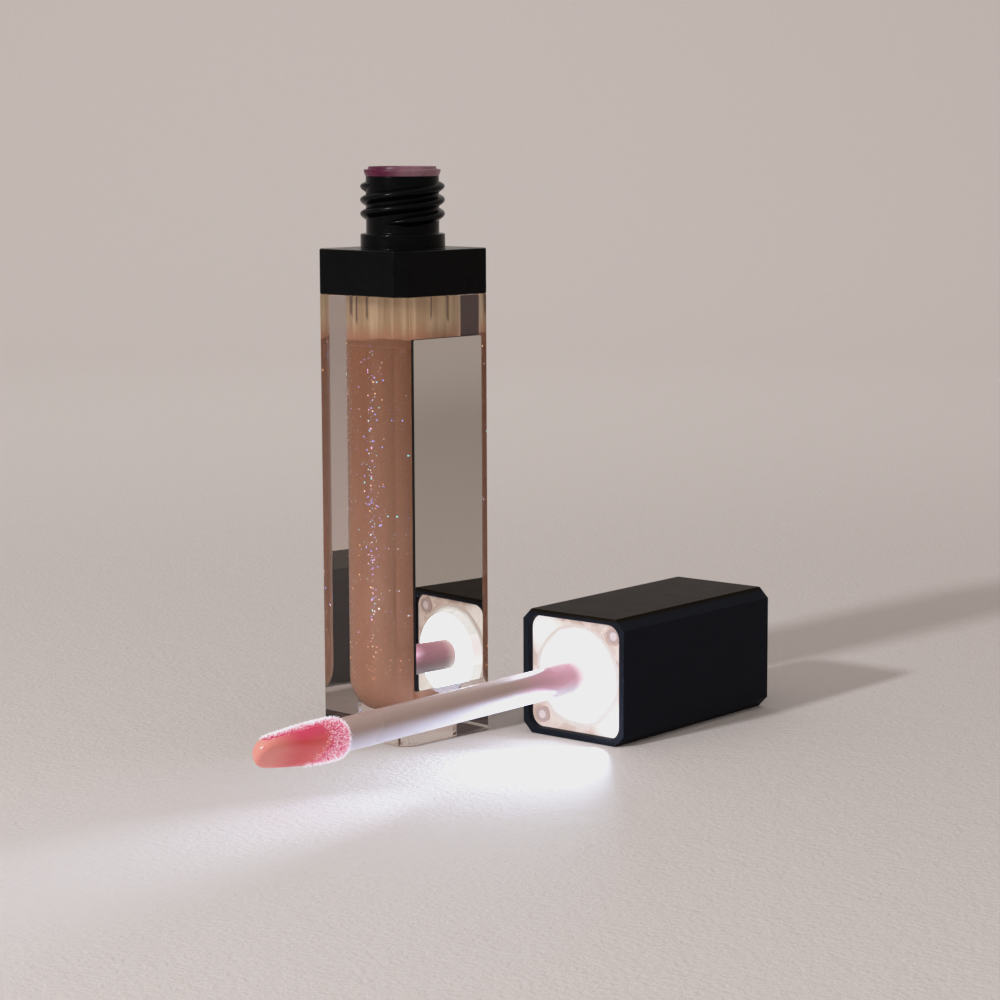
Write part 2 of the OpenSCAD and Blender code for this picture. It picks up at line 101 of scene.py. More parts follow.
# a soft shoulder keeps the lamp-lit parts from burning out
BRIGHTEST, WHITE = 8.0, 0.92
SHOULDER = ((0.3, 0.3), (0.6, 0.6), (0.82, 0.775), (1.2, 0.872), (2.5, 0.902))
bpy.context.scene.view_settings.use_curve_mapping = True
shoulder = bpy.context.scene.view_settings.curve_mapping
shoulder.clip_max_x = shoulder.clip_max_y = BRIGHTEST
shoulder.extend = "HORIZONTAL"
shoulder_curve = shoulder.curves[3]
shoulder_curve.points[0].location = (0.0, 0.0)
shoulder_curve.points[1].location = (BRIGHTEST, WHITE)
for at, to in SHOULDER:
    shoulder_curve.points.new(at, to)
shoulder.update()


# ---------- The table ----------
# A sheet of matt paper, pale pinkish beige with a fine grain. It lies flat under the tube and
# curves up slowly all round, so that no edge of the table shows behind the object.
class Wire:
    """An output socket of a node. Sums and products of wires add Math nodes."""

    def __init__(self, tree, socket):
        self.tree, self.socket = tree, socket

    def _math(self, operation, *values):
        return self.tree.node("ShaderNodeMath", {"operation": operation}, dict(enumerate(values)))

    def __add__(self, other):
        return self._math("ADD", self, other)

    def __sub__(self, other):
        return self._math("SUBTRACT", self, other)

    def __rsub__(self, other):
        return self._math("SUBTRACT", other, self)

    def __mul__(self, other):
        return self._math("MULTIPLY", self, other)

    def __truediv__(self, other):
        return self._math("DIVIDE", self, other)

    __radd__, __rmul__ = __add__, __mul__

    def root(self):
        return self._math("SQRT", self)

    def sine(self):
        return self._math("SINE", self)

    def cosine(self):
        return self._math("COSINE", self)

    def least(self, other):
        return self._math("MINIMUM", self, other)

    def most(self, other):
        return self._math("MAXIMUM", self, other)


class Tree:
    """A node tree under construction. Every node comes from node()."""

    def node(self, kind, settings=None, values=None, out=0):
        made_node = self.tree.nodes.new(kind)
        for key, value in (settings or {}).items():
            setattr(made_node, key, value)
        for key, value in (values or {}).items():
            if isinstance(value, Wire):
                self.tree.links.new(value.socket, made_node.inputs[key])
            else:
                made_node.inputs[key].default_value = value
        return Wire(self, made_node.outputs[out] if made_node.outputs else None)


class Finish(Tree):
    """The material of one kind of surface."""

    def __init__(self, name):
        self.material = bpy.data.materials.new(name)
        self.material.use_nodes = True
        self.tree = self.material.node_tree
        self.tree.nodes.clear()
        self.place = self.node("ShaderNodeTexCoord", out="Object")

    def grain(self, size, detail=2.0, stretch=(1, 1, 1), rough=0.5):
        """Noise from 0 to 1 whose lumps are about size metres across."""
        where = self.place
        if stretch != (1, 1, 1):
            where = self.node("ShaderNodeMapping", None, {"Vector": where, "Scale": stretch})
        return self.node("ShaderNodeTexNoise", None, {
            "Vector": where, "Scale": 1 / size, "Detail": detail, "Roughness": rough})

    def part(self, axis):
        """The place along x, y or z, in metres."""
        return self.node("ShaderNodeSeparateXYZ", None, {0: self.place}, out=axis)

    def step(self, value, low, high, first=0.0, last=1.0):
        """Smoothly from first to last while value goes from low to high."""
        return self.node("ShaderNodeMapRange", {"interpolation_type": "SMOOTHSTEP"},
                         {0: value, 1: low, 2: high, 3: first, 4: last})

    def mix(self, share, a, b):
        """Colour a where share is 0, and colour b where it is 1."""
        return self.node("ShaderNodeMix", {"data_type": "RGBA"}, {0: share, 6: a, 7: b}, out=2)

    def bump(self, height, depth, strength=1.0):
        """A surface that rises by depth, in metres, where height goes from 0 to 1."""
        return self.node("ShaderNodeBump", None, {
            "Strength": strength, "Distance": depth, "Height": height})

    def skin(self, **sockets):
        """Principled surface as the material's result, with socket names written with underscores."""
        values = {name.replace("_", " "): value for name, value in sockets.items()}
        surface = self.node("ShaderNodeBsdfPrincipled", None, values)
        self.node("ShaderNodeOutputMaterial", None, {"Surface": surface})
        return self


def shade(red, green, blue):
    """A colour given as it looks on a screen, from 0 to 255."""
    linear = [c / 255 / 12.92 if c <= 10 else ((c / 255 + 0.055) / 1.055) ** 2.4
              for c in (red, green, blue)]
    return (*linear, 1.0)


def link_object(name, data):
    """A new object in the scene."""
    thing = bpy.data.objects.new(name, data)
    bpy.context.scene.collection.objects.link(thing)
    return thing


def join_rows(form, rows):
    """Faces between rows of the same number of points, each row closed on itself."""
    for a, b in zip(rows, rows[1:]):
        for i in range(len(a)):
            j = (i + 1) % len(a)
            form.faces.new((a[i], a[j], b[j], b[i]))


paper = Finish("pale_paper")
paper_grain = paper.grain(0.0009, 5, rough=0.6)
paper.skin(
    Base_Color=paper.mix(paper_grain, shade(206, 197, 193), shade(214, 205, 201)),
    Roughness=0.9, Specular_IOR_Level=0.15,
    Normal=paper.bump(paper_grain + paper.grain(0.0016, 3) * 0.4 + paper.grain(0.005, 3) * 0.7,
                      0.00025, 0.9))

INNER_RADIUS, FLAT_RADIUS, CURVE_RADIUS = 0.02, 0.75, 1.2
CURVE_TURN, CURVE_STEPS, TABLE_SIDES = 46, 24, 96
paper_path = [(INNER_RADIUS, 0.0), (FLAT_RADIUS * 0.4, 0.0), (FLAT_RADIUS, 0.0)]
for k in range(1, CURVE_STEPS + 1):
    turn = math.radians(CURVE_TURN * k / CURVE_STEPS)
    paper_path.append((FLAT_RADIUS + CURVE_RADIUS * math.sin(turn), CURVE_RADIUS * (1 - math.cos(turn))))
object_middle = (cad_low + cad_high) / 2
table_turns = [math.tau * i / TABLE_SIDES for i in range(TABLE_SIDES)]
paper_form = bmesh.new()
paper_rows = [[paper_form.verts.new((object_middle.x + r * math.cos(a),
                                     object_middle.y + r * math.sin(a), z)) for a in table_turns]
              for r, z in paper_path]
join_rows(paper_form, paper_rows)
paper_form.faces.new(paper_rows[0][::-1])
bmesh.ops.recalc_face_normals(paper_form, faces=paper_form.faces)
paper_mesh = bpy.data.meshes.new("table")
paper_form.to_mesh(paper_mesh)
paper_mesh.shade_smooth()
paper_mesh.materials.append(paper.material)
table = link_object("table", paper_mesh)

# ---------- The room's light ----------
# Even daylight from all round, and one small soft lamp low on the left in front of the tube,
# which draws the shadows of cap and bottle to the right. A wide lamp lightens the sheet behind.
ROOM_TINT, ROOM_STRENGTH = (1.0, 0.935, 0.895, 1.0), 0.53
world = bpy.data.worlds.new("room")
bpy.context.scene.world = world
world.use_nodes = True
daylight = world.node_tree.nodes["Background"]
daylight.inputs["Color"].default_value = ROOM_TINT
daylight.inputs["Strength"].default_value = ROOM_STRENGTH


def lamp(name, place, aim, power, width, tint):
    """A round soft lamp, with its power in watts and its width in metres."""
    data = bpy.data.lights.new(name, "AREA")
    data.shape, data.size, data.energy, data.color = "DISK", width, power, tint
    light = link_object(name, data)
    light.location = place
    light.rotation_euler = (Vector(aim) - Vector(place)).to_track_quat("-Z", "Y").to_euler()
    light.visible_camera = False
    return light


KEY_WAY, KEY_RISE, KEY_FAR = Vector((-0.998, 0.068, 0)), math.radians(29.3), 0.8
WALL_SPREAD = math.radians(112)
key_from = KEY_WAY * math.cos(KEY_RISE) + Vector((0, 0, math.sin(KEY_RISE)))
key_lamp = lamp("key_lamp", key_from * KEY_FAR, (0, 0, 0.02), 4.5, 0.062, (0.92, 0.967, 1.0))
wall_lamp = lamp("wall_lamp", (0, 0, 1.0), (1.0, 1.0, 0.3), 2.9, 0.4, (0.97, 0.99, 1.0))
wall_lamp.data.spread = WALL_SPREAD


def mottled(name, size, detail, dark, pale, worn=None, bumps=None, **sockets):
    """A finish whose colour drifts between two shades. Its roughness may drift as well, worn being
    (size, detail, least, most), and bumps are (size, detail, depth, strength)."""
    finish = Finish(name)
    if worn:
        sockets["Roughness"] = finish.step(finish.grain(*worn[:2]), 0.3, 0.7, *worn[2:])
    if bumps:
        sockets["Normal"] = finish.bump(finish.grain(*bumps[:2]), *bumps[2:])
    drift = finish.mix(finish.grain(size, detail), shade(*dark), shade(*pale))
    return finish.skin(Base_Color=drift, **sockets)


# painted shade: a dark sheet off to the left, seen only through the clear plastic, where it lays a dark
# band
SHADE_CARD_MIDDLE, SHADE_CARD_ALONG = Vector((-0.092, 0.077, 0)), Vector((0.64, 0.768, 0))
SHADE_CARD_HALF, SHADE_CARD_LOW, SHADE_CARD_HIGH = 0.05, 0.0005, 0.13
shade_card_form = bmesh.new()
shade_card_form.faces.new([
    shade_card_form.verts.new(SHADE_CARD_MIDDLE + SHADE_CARD_ALONG * w + Vector((0, 0, z)))
    for w, z in ((-SHADE_CARD_HALF, SHADE_CARD_LOW), (SHADE_CARD_HALF, SHADE_CARD_LOW),
                 (SHADE_CARD_HALF, SHADE_CARD_HIGH), (-SHADE_CARD_HALF, SHADE_CARD_HIGH))])
shade_card_mesh = bpy.data.meshes.new("shade_card")
shade_card_form.to_mesh(shade_card_mesh)
shade_card_finish = mottled("painted_shade_card", 0.002, 3, (70, 58, 62), (90, 78, 80), Roughness=0.9)
shade_card_mesh.materials.append(shade_card_finish.material)
shade_card = link_object("shade_card", shade_card_mesh)
for sight in ("visible_camera", "visible_diffuse", "visible_glossy", "visible_shadow"):
    setattr(shade_card, sight, False)

# ---------- The bottle ----------
# One thick clear moulding: square with its long edges cut off, a round well with a rounded foot,
# and a spigot that plugs into the collar. Moulded in glass-clear plastic and polished.
MM = 0.001
CORNER_STEPS = 11


def rounded(corners, steps, closed=True):
    """An outline through corners (x, y, radius), each rounded off with steps + 1 points."""
    points = []
    for i, (x, y, radius) in enumerate(corners):
        here = Vector((x, y))
        if radius == 0 or (not closed and i in (0, len(corners) - 1)):
            points.append(here)
            continue
        before = (Vector(corners[i - 1][:2]) - here).normalized()
        after = (Vector(corners[(i + 1) % len(corners)][:2]) - here).normalized()
        half = before.angle(after) / 2
        middle = here + (before + after).normalized() * (radius / math.sin(half))
        start = here + before * (radius / math.tan(half)) - middle
        end = here + after * (radius / math.tan(half)) - middle
        turn = math.atan2(start.x * end.y - start.y * end.x, start.dot(end))
        for k in range(steps + 1):
            a = turn * k / steps
            points.append(middle + Vector((start.x * math.cos(a) - start.y * math.sin(a),
                                           start.x * math.sin(a) + start.y * math.cos(a))))
    return points


def cut_square(half, cut, corner, z):
    """A ring round a square whose corners are cut off, with every edge of the cut rounded."""
    corners = []
    for q in range(4):
        for x, y in ((half, half - cut), (half - cut, half)):
            for _ in range(q):
                x, y = -y, x
            corners.append((x, y, corner))
    return [(p.x, p.y, z) for p in rounded(corners, CORNER_STEPS)]


RING_POINTS = 8 * (CORNER_STEPS + 1)    # as many as cut_square has


def circle(r, z):
    """A ring of the same number of points on a circle. z may be a function of the angle."""
    angles = [math.tau * (i + 0.5) / RING_POINTS for i in range(RING_POINTS)]
    return [(r * math.cos(a), r * math.sin(a), z(a) if callable(z) else z) for a in angles]


def turned(path, steps=4):
    """Rings of a round body whose outline is path, points of (radius, height, rounding)."""
    return [circle(p.x, p.y) for p in rounded(path, steps, closed=False)]


def shell(rings, loop=False):
    """A skin over rings of points, closed by its two end rings, or by joining the last to the first."""
    form = bmesh.new()
    rows = [[form.verts.new(p) for p in ring] for ring in rings]
    join_rows(form, rows + rows[:1] if loop else rows)
    if not loop:
        form.faces.new(rows[0][::-1])
        form.faces.new(rows[-1])
    return form


def tidy_mesh(name, form, place):
    """The form in its place as a mesh, with its faces outwards and its edges evenly shaded."""
    bmesh.ops.transform(form, matrix=place, verts=form.verts)
    bmesh.ops.recalc_face_normals(form, faces=form.faces)
    if form.calc_volume(signed=True) < 0:
        bmesh.ops.reverse_faces(form, faces=form.faces)
    mesh = bpy.data.meshes.new(name)
    form.to_mesh(mesh)
    form.free()
    mesh.shade_smooth()
    return mesh


def finished(name, mesh, finish, body, slot, *stands_for):
    """A piece in its finish that rides on a body, and stands for the CAD nodes named last."""
    mesh.materials.clear()
    mesh.materials.append(finish.material)
    piece = link_object(name, mesh)
    even = piece.modifiers.new("even shading", "WEIGHTED_NORMAL")
    even.weight = 100
    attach(piece, body)
    if stands_for:
        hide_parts(*stands_for)
    return piece


BODY_HALF, EDGE_CUT, EDGE_SOFT, BOTTLE_TURN = 10.0, 1.7, 0.25, -4.5
WELL_RADIUS, WELL_FLOOR, WELL_ROUND = 7.0, 4.0, 5.0
BODY_TOP, SPIGOT_TOP, SPIGOT_RADIUS = 69.5, 73.9, 8.2
HUB, SOLE_RISE = 0.4, 0.1    # the small ring that closes a floor, and the hollow of the underside
bottle_centre = (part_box("gloss_fill")[0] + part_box("gloss_fill")[1]) / 2
BOTTLE = (Matrix.Translation((bottle_centre.x, bottle_centre.y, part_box("bottle_body")[0].z))
          @ Matrix.Rotation(math.radians(BOTTLE_TURN), 4, "Z") @ Matrix.Scale(MM, 4))


def square_part(path, steps=4):
    """Rings of the cut square whose outline is path, points of (half width, height, rounding)."""
    rings = []
    for p in rounded(path, steps, closed=False):
        inset = BODY_HALF - p.x
        rings.append(cut_square(p.x, EDGE_CUT - (2 - math.sqrt(2)) * inset, EDGE_SOFT, p.y))
    return rings


clear_plastic = Finish("clear_plastic")
clear_plastic.skin(
    Base_Color=(0.82, 0.73, 0.68, 1.0),
    Roughness=clear_plastic.step(clear_plastic.grain(0.006, 5), 0.6, 0.85, 0.0, 0.02),
    IOR=1.49, Transmission_Weight=1.0,
    Normal=clear_plastic.bump(clear_plastic.grain(0.012, 1), 0.0002, 0.05))
WELL_STEPS = 16
bottle_rings = [circle(HUB, SOLE_RISE)]
bottle_rings += square_part([(8.8, SOLE_RISE, 0), (9.2, 0, 0.1), (BODY_HALF, 0, 0.5),
                             (BODY_HALF, BODY_TOP, 0.2), (9.4, BODY_TOP, 0)])
bottle_rings += turned([(SPIGOT_RADIUS, BODY_TOP, 0), (SPIGOT_RADIUS, SPIGOT_TOP, 0.1),
                        (WELL_RADIUS, SPIGOT_TOP, 0.1), (WELL_RADIUS, WELL_FLOOR, WELL_ROUND),
                        (HUB, WELL_FLOOR, 0)], WELL_STEPS)
finished("bottle", tidy_mesh("bottle", shell(bottle_rings), BOTTLE), clear_plastic,
         "bottle", "clear_plastic", "bottle_body")

# ---------- The gloss ----------
# Thick tinted lip gloss with fine shimmer. It wets the wall of the well, so its skin meets the
# plastic without a gap, and its top is uneven from the wand that was drawn out of it.
GLOSS_TOP, WETTING, DIMPLE = 62.5, 0.02, 0.6
GLOSS_RADIUS = WELL_RADIUS + WETTING


def gloss_level(angle):
    """The height of the gloss's edge round the wall."""
    return GLOSS_TOP + 0.35 * math.sin(angle * 2 + 0.6) + 0.2 * math.sin(angle * 5 + 2.0)


gloss = Finish("tinted_gloss")
gloss_height = gloss.part("Z")
gloss_swirl = gloss.grain(0.006, 3, (1, 1, 0.35))
gloss_colour = gloss.mix(gloss.step(gloss_swirl, 0.35, 0.7), shade(220, 162, 132), shade(228, 176, 148))
# painted shading: the gloss is painted darker and browner towards its top
gloss.skin(
    Base_Color=gloss.mix(gloss.step(gloss_height, 0.01, 0.06), gloss_colour, shade(189, 128, 90)),
    Roughness=gloss.step(gloss.grain(0.0004, 2), 0.3, 0.7, 0.12, 0.3), IOR=1.47,
    Normal=gloss.bump(gloss.grain(0.0003, 2), 0.00003, 0.2))
gloss_rings = turned([(HUB, WELL_FLOOR - WETTING, 0), (GLOSS_RADIUS, WELL_FLOOR - WETTING, WELL_ROUND),
                      (GLOSS_RADIUS, GLOSS_TOP - 1.5, 0)], WELL_STEPS)
gloss_rings += [circle(GLOSS_RADIUS, gloss_level),
                circle(WELL_RADIUS - 0.12, lambda a: gloss_level(a) - 0.12),
                circle(WELL_RADIUS - 0.7,
                       lambda a: GLOSS_TOP - 0.45 + 0.5 * (gloss_level(a) - GLOSS_TOP)),
                circle(3.5, GLOSS_TOP - DIMPLE), circle(0.6, GLOSS_TOP - DIMPLE)]
finished("gloss", tidy_mesh("gloss", shell(gloss_rings), BOTTLE), gloss,
         "bottle", "lip_gloss", "gloss_fill")

# above its level a thin film of gloss has run down the wall in streaks
film = Finish("gloss_film")
film_streak = film.grain(0.0022, 4, (1, 1, 0.06), 0.6)
film_run = film.grain(0.0042, 1, (1, 1, 0.05), 0.4)
film_line = film.step(film_run, 0.462, 0.494) * film.step(film_run, 0.506, 0.538, 1.0, 0.0)
film_drop = film.step(film.part("Z") + film.grain(0.003, 2, (1, 1, 0.1)) * 0.006, 0.0682, 0.0692)
film_thick = film.step(film.part("Z") + film_streak * 0.002, 0.0632, 0.0668, 1.0, 0.0)
film_shade = film.mix(film_line * film_drop * 0.75, film.mix(
    film.step(film_streak, 0.35, 0.65), shade(200, 168, 132), shade(236, 210, 172)), shade(96, 66, 62))
film_shade = film.mix(film_thick, film_shade, shade(205, 148, 116))
film.skin(
    Base_Color=film_shade,
    Roughness=0.2, IOR=1.47,
    Alpha=film.step(film_streak, 0.25, 0.45, 0.99, 0.92),
    # painted light: the film also glows faintly in its own colour
    Emission_Color=film_shade, Emission_Strength=0.16,
    Normal=film.bump(film_streak + film.grain(0.0005, 3) * 0.4, 0.0002, 0.5))
FILM_FOOT, FILM_HEAD = GLOSS_TOP - 1, SPIGOT_TOP - 0.2
film_rings = turned([(GLOSS_RADIUS, FILM_FOOT, 0), (GLOSS_RADIUS, FILM_HEAD, 0),
                     (WELL_RADIUS - 0.09, FILM_HEAD, 0), (WELL_RADIUS - 0.13, FILM_FOOT, 0)])
finished("gloss_film", tidy_mesh("gloss_film", shell(film_rings, loop=True), BOTTLE), film,
         "bottle", "lip_gloss")


class Recipe(Tree):
    """A Geometry Nodes tree with named inputs, run once on a mesh."""

    def __init__(self, name, **takes):
        self.tree = bpy.data.node_groups.new(name, "GeometryNodeTree")
        face = self.tree.interface
        face.new_socket("Geometry", in_out="INPUT", socket_type="NodeSocketGeometry")
        for label, (kind, value) in takes.items():
            face.new_socket(label, in_out="INPUT", socket_type="NodeSocket" + kind).default_value = value
        face.new_socket("Geometry", in_out="OUTPUT", socket_type="NodeSocketGeometry")

    def given(self, label):
        """One of the tree's named inputs."""
        return self.node("NodeGroupInput", out=label)

    def result(self, wire, finish):
        """Real meshes in their finish, as the tree's output."""
        real = self.node("GeometryNodeRealizeInstances", None, {0: wire})
        painted = self.node("GeometryNodeSetMaterial", None, {0: real, "Material": finish.material})
        self.node("NodeGroupOutput", None, {0: painted})

    def run(self, name, mesh, **values):
        """What the tree makes of a mesh, as a plain mesh."""
        carrier = link_object("carrier", mesh)
        modifier = carrier.modifiers.new("recipe", "NODES")
        modifier.node_group = self.tree
        for item in self.tree.interface.items_tree:
            if item.name in values:
                modifier[item.identifier] = values[item.name]
        made_mesh = bpy.data.meshes.new_from_object(
            carrier.evaluated_get(bpy.context.evaluated_depsgraph_get()))
        made_mesh.name = name
        carrier.modifiers.remove(modifier)
        bpy.data.objects.remove(carrier)
        return made_mesh


glitter = Recipe("glitter", Per_square_metre=("Float", 1.05e7), Small=("Float", 0.000026),
                 Large=("Float", 0.00017), Tilt=("Float", 0.45), Seed=("Int", 5))
strewn = glitter.node("GeometryNodeDistributePointsOnFaces", {"distribute_method": "RANDOM"}, {
    "Mesh": glitter.given("Geometry"), "Seed": glitter.given("Seed"),
    "Density": glitter.given("Per_square_metre") * glitter.node(
        "GeometryNodeInputNamedAttribute", {"data_type": "FLOAT"}, {"Name": "dust_and_glint_band"})})


def chance(recipe, seed, low=0.0, high=1.0):
    """A random number for each point."""
    return recipe.node("FunctionNodeRandomValue", {"data_type": "FLOAT"},
                       {2: low, 3: high, "Seed": seed}, out=1)


def tilted(recipe, scattered, tilt, seed):
    """The turn of each scattered point, tipped away from the surface's normal by up to tilt."""
    angles = recipe.node("ShaderNodeCombineXYZ", None, {
        0: (chance(recipe, seed) - 0.5) * 2 * tilt, 1: (chance(recipe, seed + 1) - 0.5) * 2 * tilt,
        2: chance(recipe, seed + 2) * math.tau})
    return recipe.node("FunctionNodeRotateRotation", {"rotation_space": "LOCAL"}, {
        0: Wire(recipe, scattered.socket.node.outputs["Rotation"]),
        1: recipe.node("FunctionNodeEulerToRotation", None, {0: angles})})


flake_luck = chance(glitter, 41)
flake_size = flake_luck * flake_luck * flake_luck * flake_luck * flake_luck
flakes = strewn
for label, value in (("hue", chance(glitter, 51)), ("glint_glow", flake_size.root())):
    flakes = glitter.node("GeometryNodeStoreNamedAttribute", {"data_type": "FLOAT", "domain": "POINT"}, {
        0: flakes, "Name": label, "Value": value})
flakes = glitter.node("GeometryNodeInstanceOnPoints", None, {
    "Points": flakes, "Rotation": tilted(glitter, strewn, glitter.given("Tilt"), 61),
    "Instance": glitter.node("GeometryNodeMeshCircle", {"fill_type": "NGON"},
                             {"Vertices": 6, "Radius": 1.0}),
    "Scale": glitter.given("Small") + flake_size * (glitter.given("Large") - glitter.given("Small"))})

flake = Finish("glitter_flakes")
hue = flake.node("ShaderNodeAttribute", {"attribute_name": "hue"}, out="Fac")
glint_glow = flake.node("ShaderNodeAttribute", {"attribute_name": "glint_glow"}, out="Fac")
flake_colour = shade(255, 214, 168)
for start, colour in ((0.08, shade(236, 190, 250)), (0.2, shade(150, 160, 255)),
                      (0.62, shade(246, 240, 255)), (0.82, shade(140, 226, 232))):
    flake_colour = flake.mix(flake.step(hue, start, start + 0.02), flake_colour, colour)
flake_colour = flake.mix(flake.step(flake.part("Z"), 0.012, 0.02), shade(255, 200, 150), flake_colour)
# painted glints: every flake glows in its own colour, the larger ones brighter
flake.skin(Base_Color=flake_colour, Metallic=0.7, Roughness=0.3,
           Emission_Color=flake.mix(flake.step(glint_glow, 0.0, 0.5, 0.14, 1.0), (0, 0, 0, 1), flake_colour),
           Emission_Strength=1.8)
glitter.result(flakes, flake)

# flakes show as dust all over, and are strewn densest in a narrow upright band: a painted glint where
# they face the light
DUST_COLUMNS, DUST_ROWS, DUST_RADIUS = 120, 40, GLOSS_RADIUS + 0.02
DUST_LOW, DUST_TALL, DUST_SHARE = 9, GLOSS_TOP - 9.6, 0.035
BAND_PLACE, BAND_WIDE = math.radians(191), math.radians(4.6)
dust_turns = [math.tau * i / DUST_COLUMNS for i in range(DUST_COLUMNS)]
dust_form = bmesh.new()
join_rows(dust_form, [[dust_form.verts.new((DUST_RADIUS * math.cos(a), DUST_RADIUS * math.sin(a),
                                            DUST_LOW + DUST_TALL * k / DUST_ROWS)) for a in dust_turns]
                      for k in range(DUST_ROWS + 1)])
dust_mesh = tidy_mesh("dust", dust_form, BOTTLE)
dust_and_glint_band = dust_mesh.attributes.new("dust_and_glint_band", "FLOAT", "POINT")
for k in range(DUST_ROWS + 1):
    by_height = 0.35 + 0.65 * math.exp(-((k / DUST_ROWS - 0.5) / 0.28) ** 2)
    for i, a in enumerate(dust_turns):
        off = abs(a - BAND_PLACE) / BAND_WIDE
        band = 0.72 * math.exp(-off ** 2) + 0.2 * math.exp(-(off / 3) ** 2)
        dust_and_glint_band.data[k * DUST_COLUMNS + i].value = DUST_SHARE + band * by_height
finished("glitter", glitter.run("glitter", dust_mesh), flake, "bottle", "lip_gloss")

# ---------- The collar and its neck ----------
# One black moulding pressed over the bottle's spigot: a square collar as wide as the bottle,
# a plain ring, and the neck that the cap screws on, with a two-start thread.
COLLAR_TOP, RING_TOP, NECK_TOP = 76.5, 78.8, 87.65
NECK_ROOT, RING_RADIUS, NECK_BORE = 5.7, 6.6, 4.7
SOCKET_RADIUS, SOCKET_TOP = SPIGOT_RADIUS + 0.03, SPIGOT_TOP + 0.1
gloss_black = Finish("polished_black")
gloss_black.skin(
    Base_Color=gloss_black.mix(gloss_black.grain(0.004, 4), shade(3, 4, 5), shade(6, 7, 8)),
    Roughness=gloss_black.step(gloss_black.grain(0.002, 4), 0.35, 0.75, 0.2, 0.3),
    Specular_IOR_Level=0.085,
    Normal=gloss_black.bump(gloss_black.grain(0.0012, 2), 0.00002, 0.35))
collar_rings = turned([(SOCKET_RADIUS, BODY_TOP, 0), (SOCKET_RADIUS, SOCKET_TOP, 0.1),
                       (NECK_BORE, SOCKET_TOP, 0.1), (NECK_BORE, NECK_TOP, 0.08),
                       (NECK_ROOT, NECK_TOP, 0.15), (NECK_ROOT, RING_TOP, 0.15),
                       (RING_RADIUS, RING_TOP, 0.25), (RING_RADIUS, COLLAR_TOP, 0.1),
                       (7.2, COLLAR_TOP, 0)])
collar_rings += square_part([(9.0, COLLAR_TOP, 0), (BODY_HALF, COLLAR_TOP, 0.2),
                             (BODY_HALF, BODY_TOP, 0.15), (9.2, BODY_TOP, 0)])
finished("collar", tidy_mesh("collar", shell(collar_rings, loop=True), BOTTLE), gloss_black,
         "bottle", "black_plastic", "neck_collar")

# each start of the thread is a ridge swept up a helix, with its root sunk in the neck
THREAD_SEAT, LEAD, FIRST_CREST, FIRST_TURN = 5.55, 4.28, 80.4, 192
THREAD_PROFILE = [(0, -0.8), (0.14, -0.76), (0.62, -0.5), (0.88, -0.34), (1.0, -0.18), (1.05, 0.0),
                  (1.02, 0.18), (0.92, 0.36), (0.68, 0.58), (0.14, 0.96), (0, 1.02)]
ridge = Recipe("thread_ridge", Radius=("Float", THREAD_SEAT), Lead=("Float", LEAD),
               First_height=("Float", FIRST_CREST), First_angle=("Float", 0.0), Turns=("Float", 1.45),
               Steps=("Int", 220), Run_out=("Float", 0.08))
along = ridge.node("GeometryNodeSplineParameter", out="Factor")
sweep = ridge.given("First_angle") + along * ridge.given("Turns") * math.tau
ridge_place = ridge.node("ShaderNodeCombineXYZ", None, {
    0: sweep.cosine() * ridge.given("Radius"), 1: sweep.sine() * ridge.given("Radius"),
    2: ridge.given("First_height") + along * ridge.given("Turns") * ridge.given("Lead")})
path_line = ridge.node("GeometryNodeResampleCurve", None, {
    0: ridge.node("GeometryNodeCurvePrimitiveLine"), "Count": ridge.given("Steps")})
helix = ridge.node("GeometryNodeSetPosition", None, {0: path_line, "Position": ridge_place})
helix = ridge.node("GeometryNodeSetCurveNormal", {"mode": "Z_UP"}, {0: helix})
ends = (along / ridge.given("Run_out")).least((1.0 - along) / ridge.given("Run_out")).least(1.0)
swept = ridge.node("GeometryNodeCurveToMesh", None, {
    0: helix, 1: ridge.node("GeometryNodeMeshToCurve", None, {0: ridge.given("Geometry")}),
    "Scale": ends.most(0.02), "Fill Caps": True})
ridge.result(swept, gloss_black)


def outline_mesh(points):
    """A closed loop of edges, as the profile of a sweep."""
    loop_mesh = bpy.data.meshes.new("outline")
    loop_mesh.from_pydata([(x, y, 0) for x, y in points],
                          [(i, (i + 1) % len(points)) for i in range(len(points))], [])
    return loop_mesh


thread_form = bmesh.new()
for start in (0, 180):
    thread_form.from_mesh(ridge.run("thread", outline_mesh(THREAD_PROFILE),
                                    First_angle=math.radians(FIRST_TURN + start)))
finished("neck_thread", tidy_mesh("neck_thread", thread_form, BOTTLE), gloss_black,
         "bottle", "black_plastic")

# ---------- The wiper ----------
# A soft magenta plastic bush in the neck. Its flared rim stands on the neck, with a narrow ring on
# it that seals against the cap's liner, and the lip at its foot strips the rod.
wiper_plastic = Finish("magenta_plastic")
wiper_streak = wiper_plastic.grain(0.0016, 3, (1, 1, 0.3))
wiper_plastic.skin(
    # painted light and shade: the bush is painted pale grey-pink on the side towards +x and -y, and dark
    # magenta on the other side
    Base_Color=wiper_plastic.mix(
        wiper_plastic.step(wiper_plastic.part("X") - wiper_plastic.part("Y"), -0.005, 0.003),
        wiper_plastic.mix(wiper_streak, shade(66, 10, 38), shade(88, 18, 50)),
        wiper_plastic.mix(wiper_streak, shade(114, 82, 92), shade(162, 120, 130))),
    Roughness=wiper_plastic.step(wiper_plastic.grain(0.001, 2), 0.3, 0.7, 0.25, 0.4),
    Specular_IOR_Level=0.25,
    Subsurface_Weight=0.2, Subsurface_Radius=(1.0, 0.35, 0.6), Subsurface_Scale=0.0008,
    Normal=wiper_plastic.bump(wiper_plastic.grain(0.0008, 2), 0.00002, 0.3))
WIPER_FOOT, CONE_TOP, RIM_LOW, RIM_TOP, SEAL_TOP = 76.15, 78.35, 88.35, 88.7, 89.15
LIP_RADIUS, WIPER_BORE, TUBE_RADIUS, SEAL_RADIUS, RIM_RADIUS = 2.5, 4.19, 4.69, 5.26, 5.97
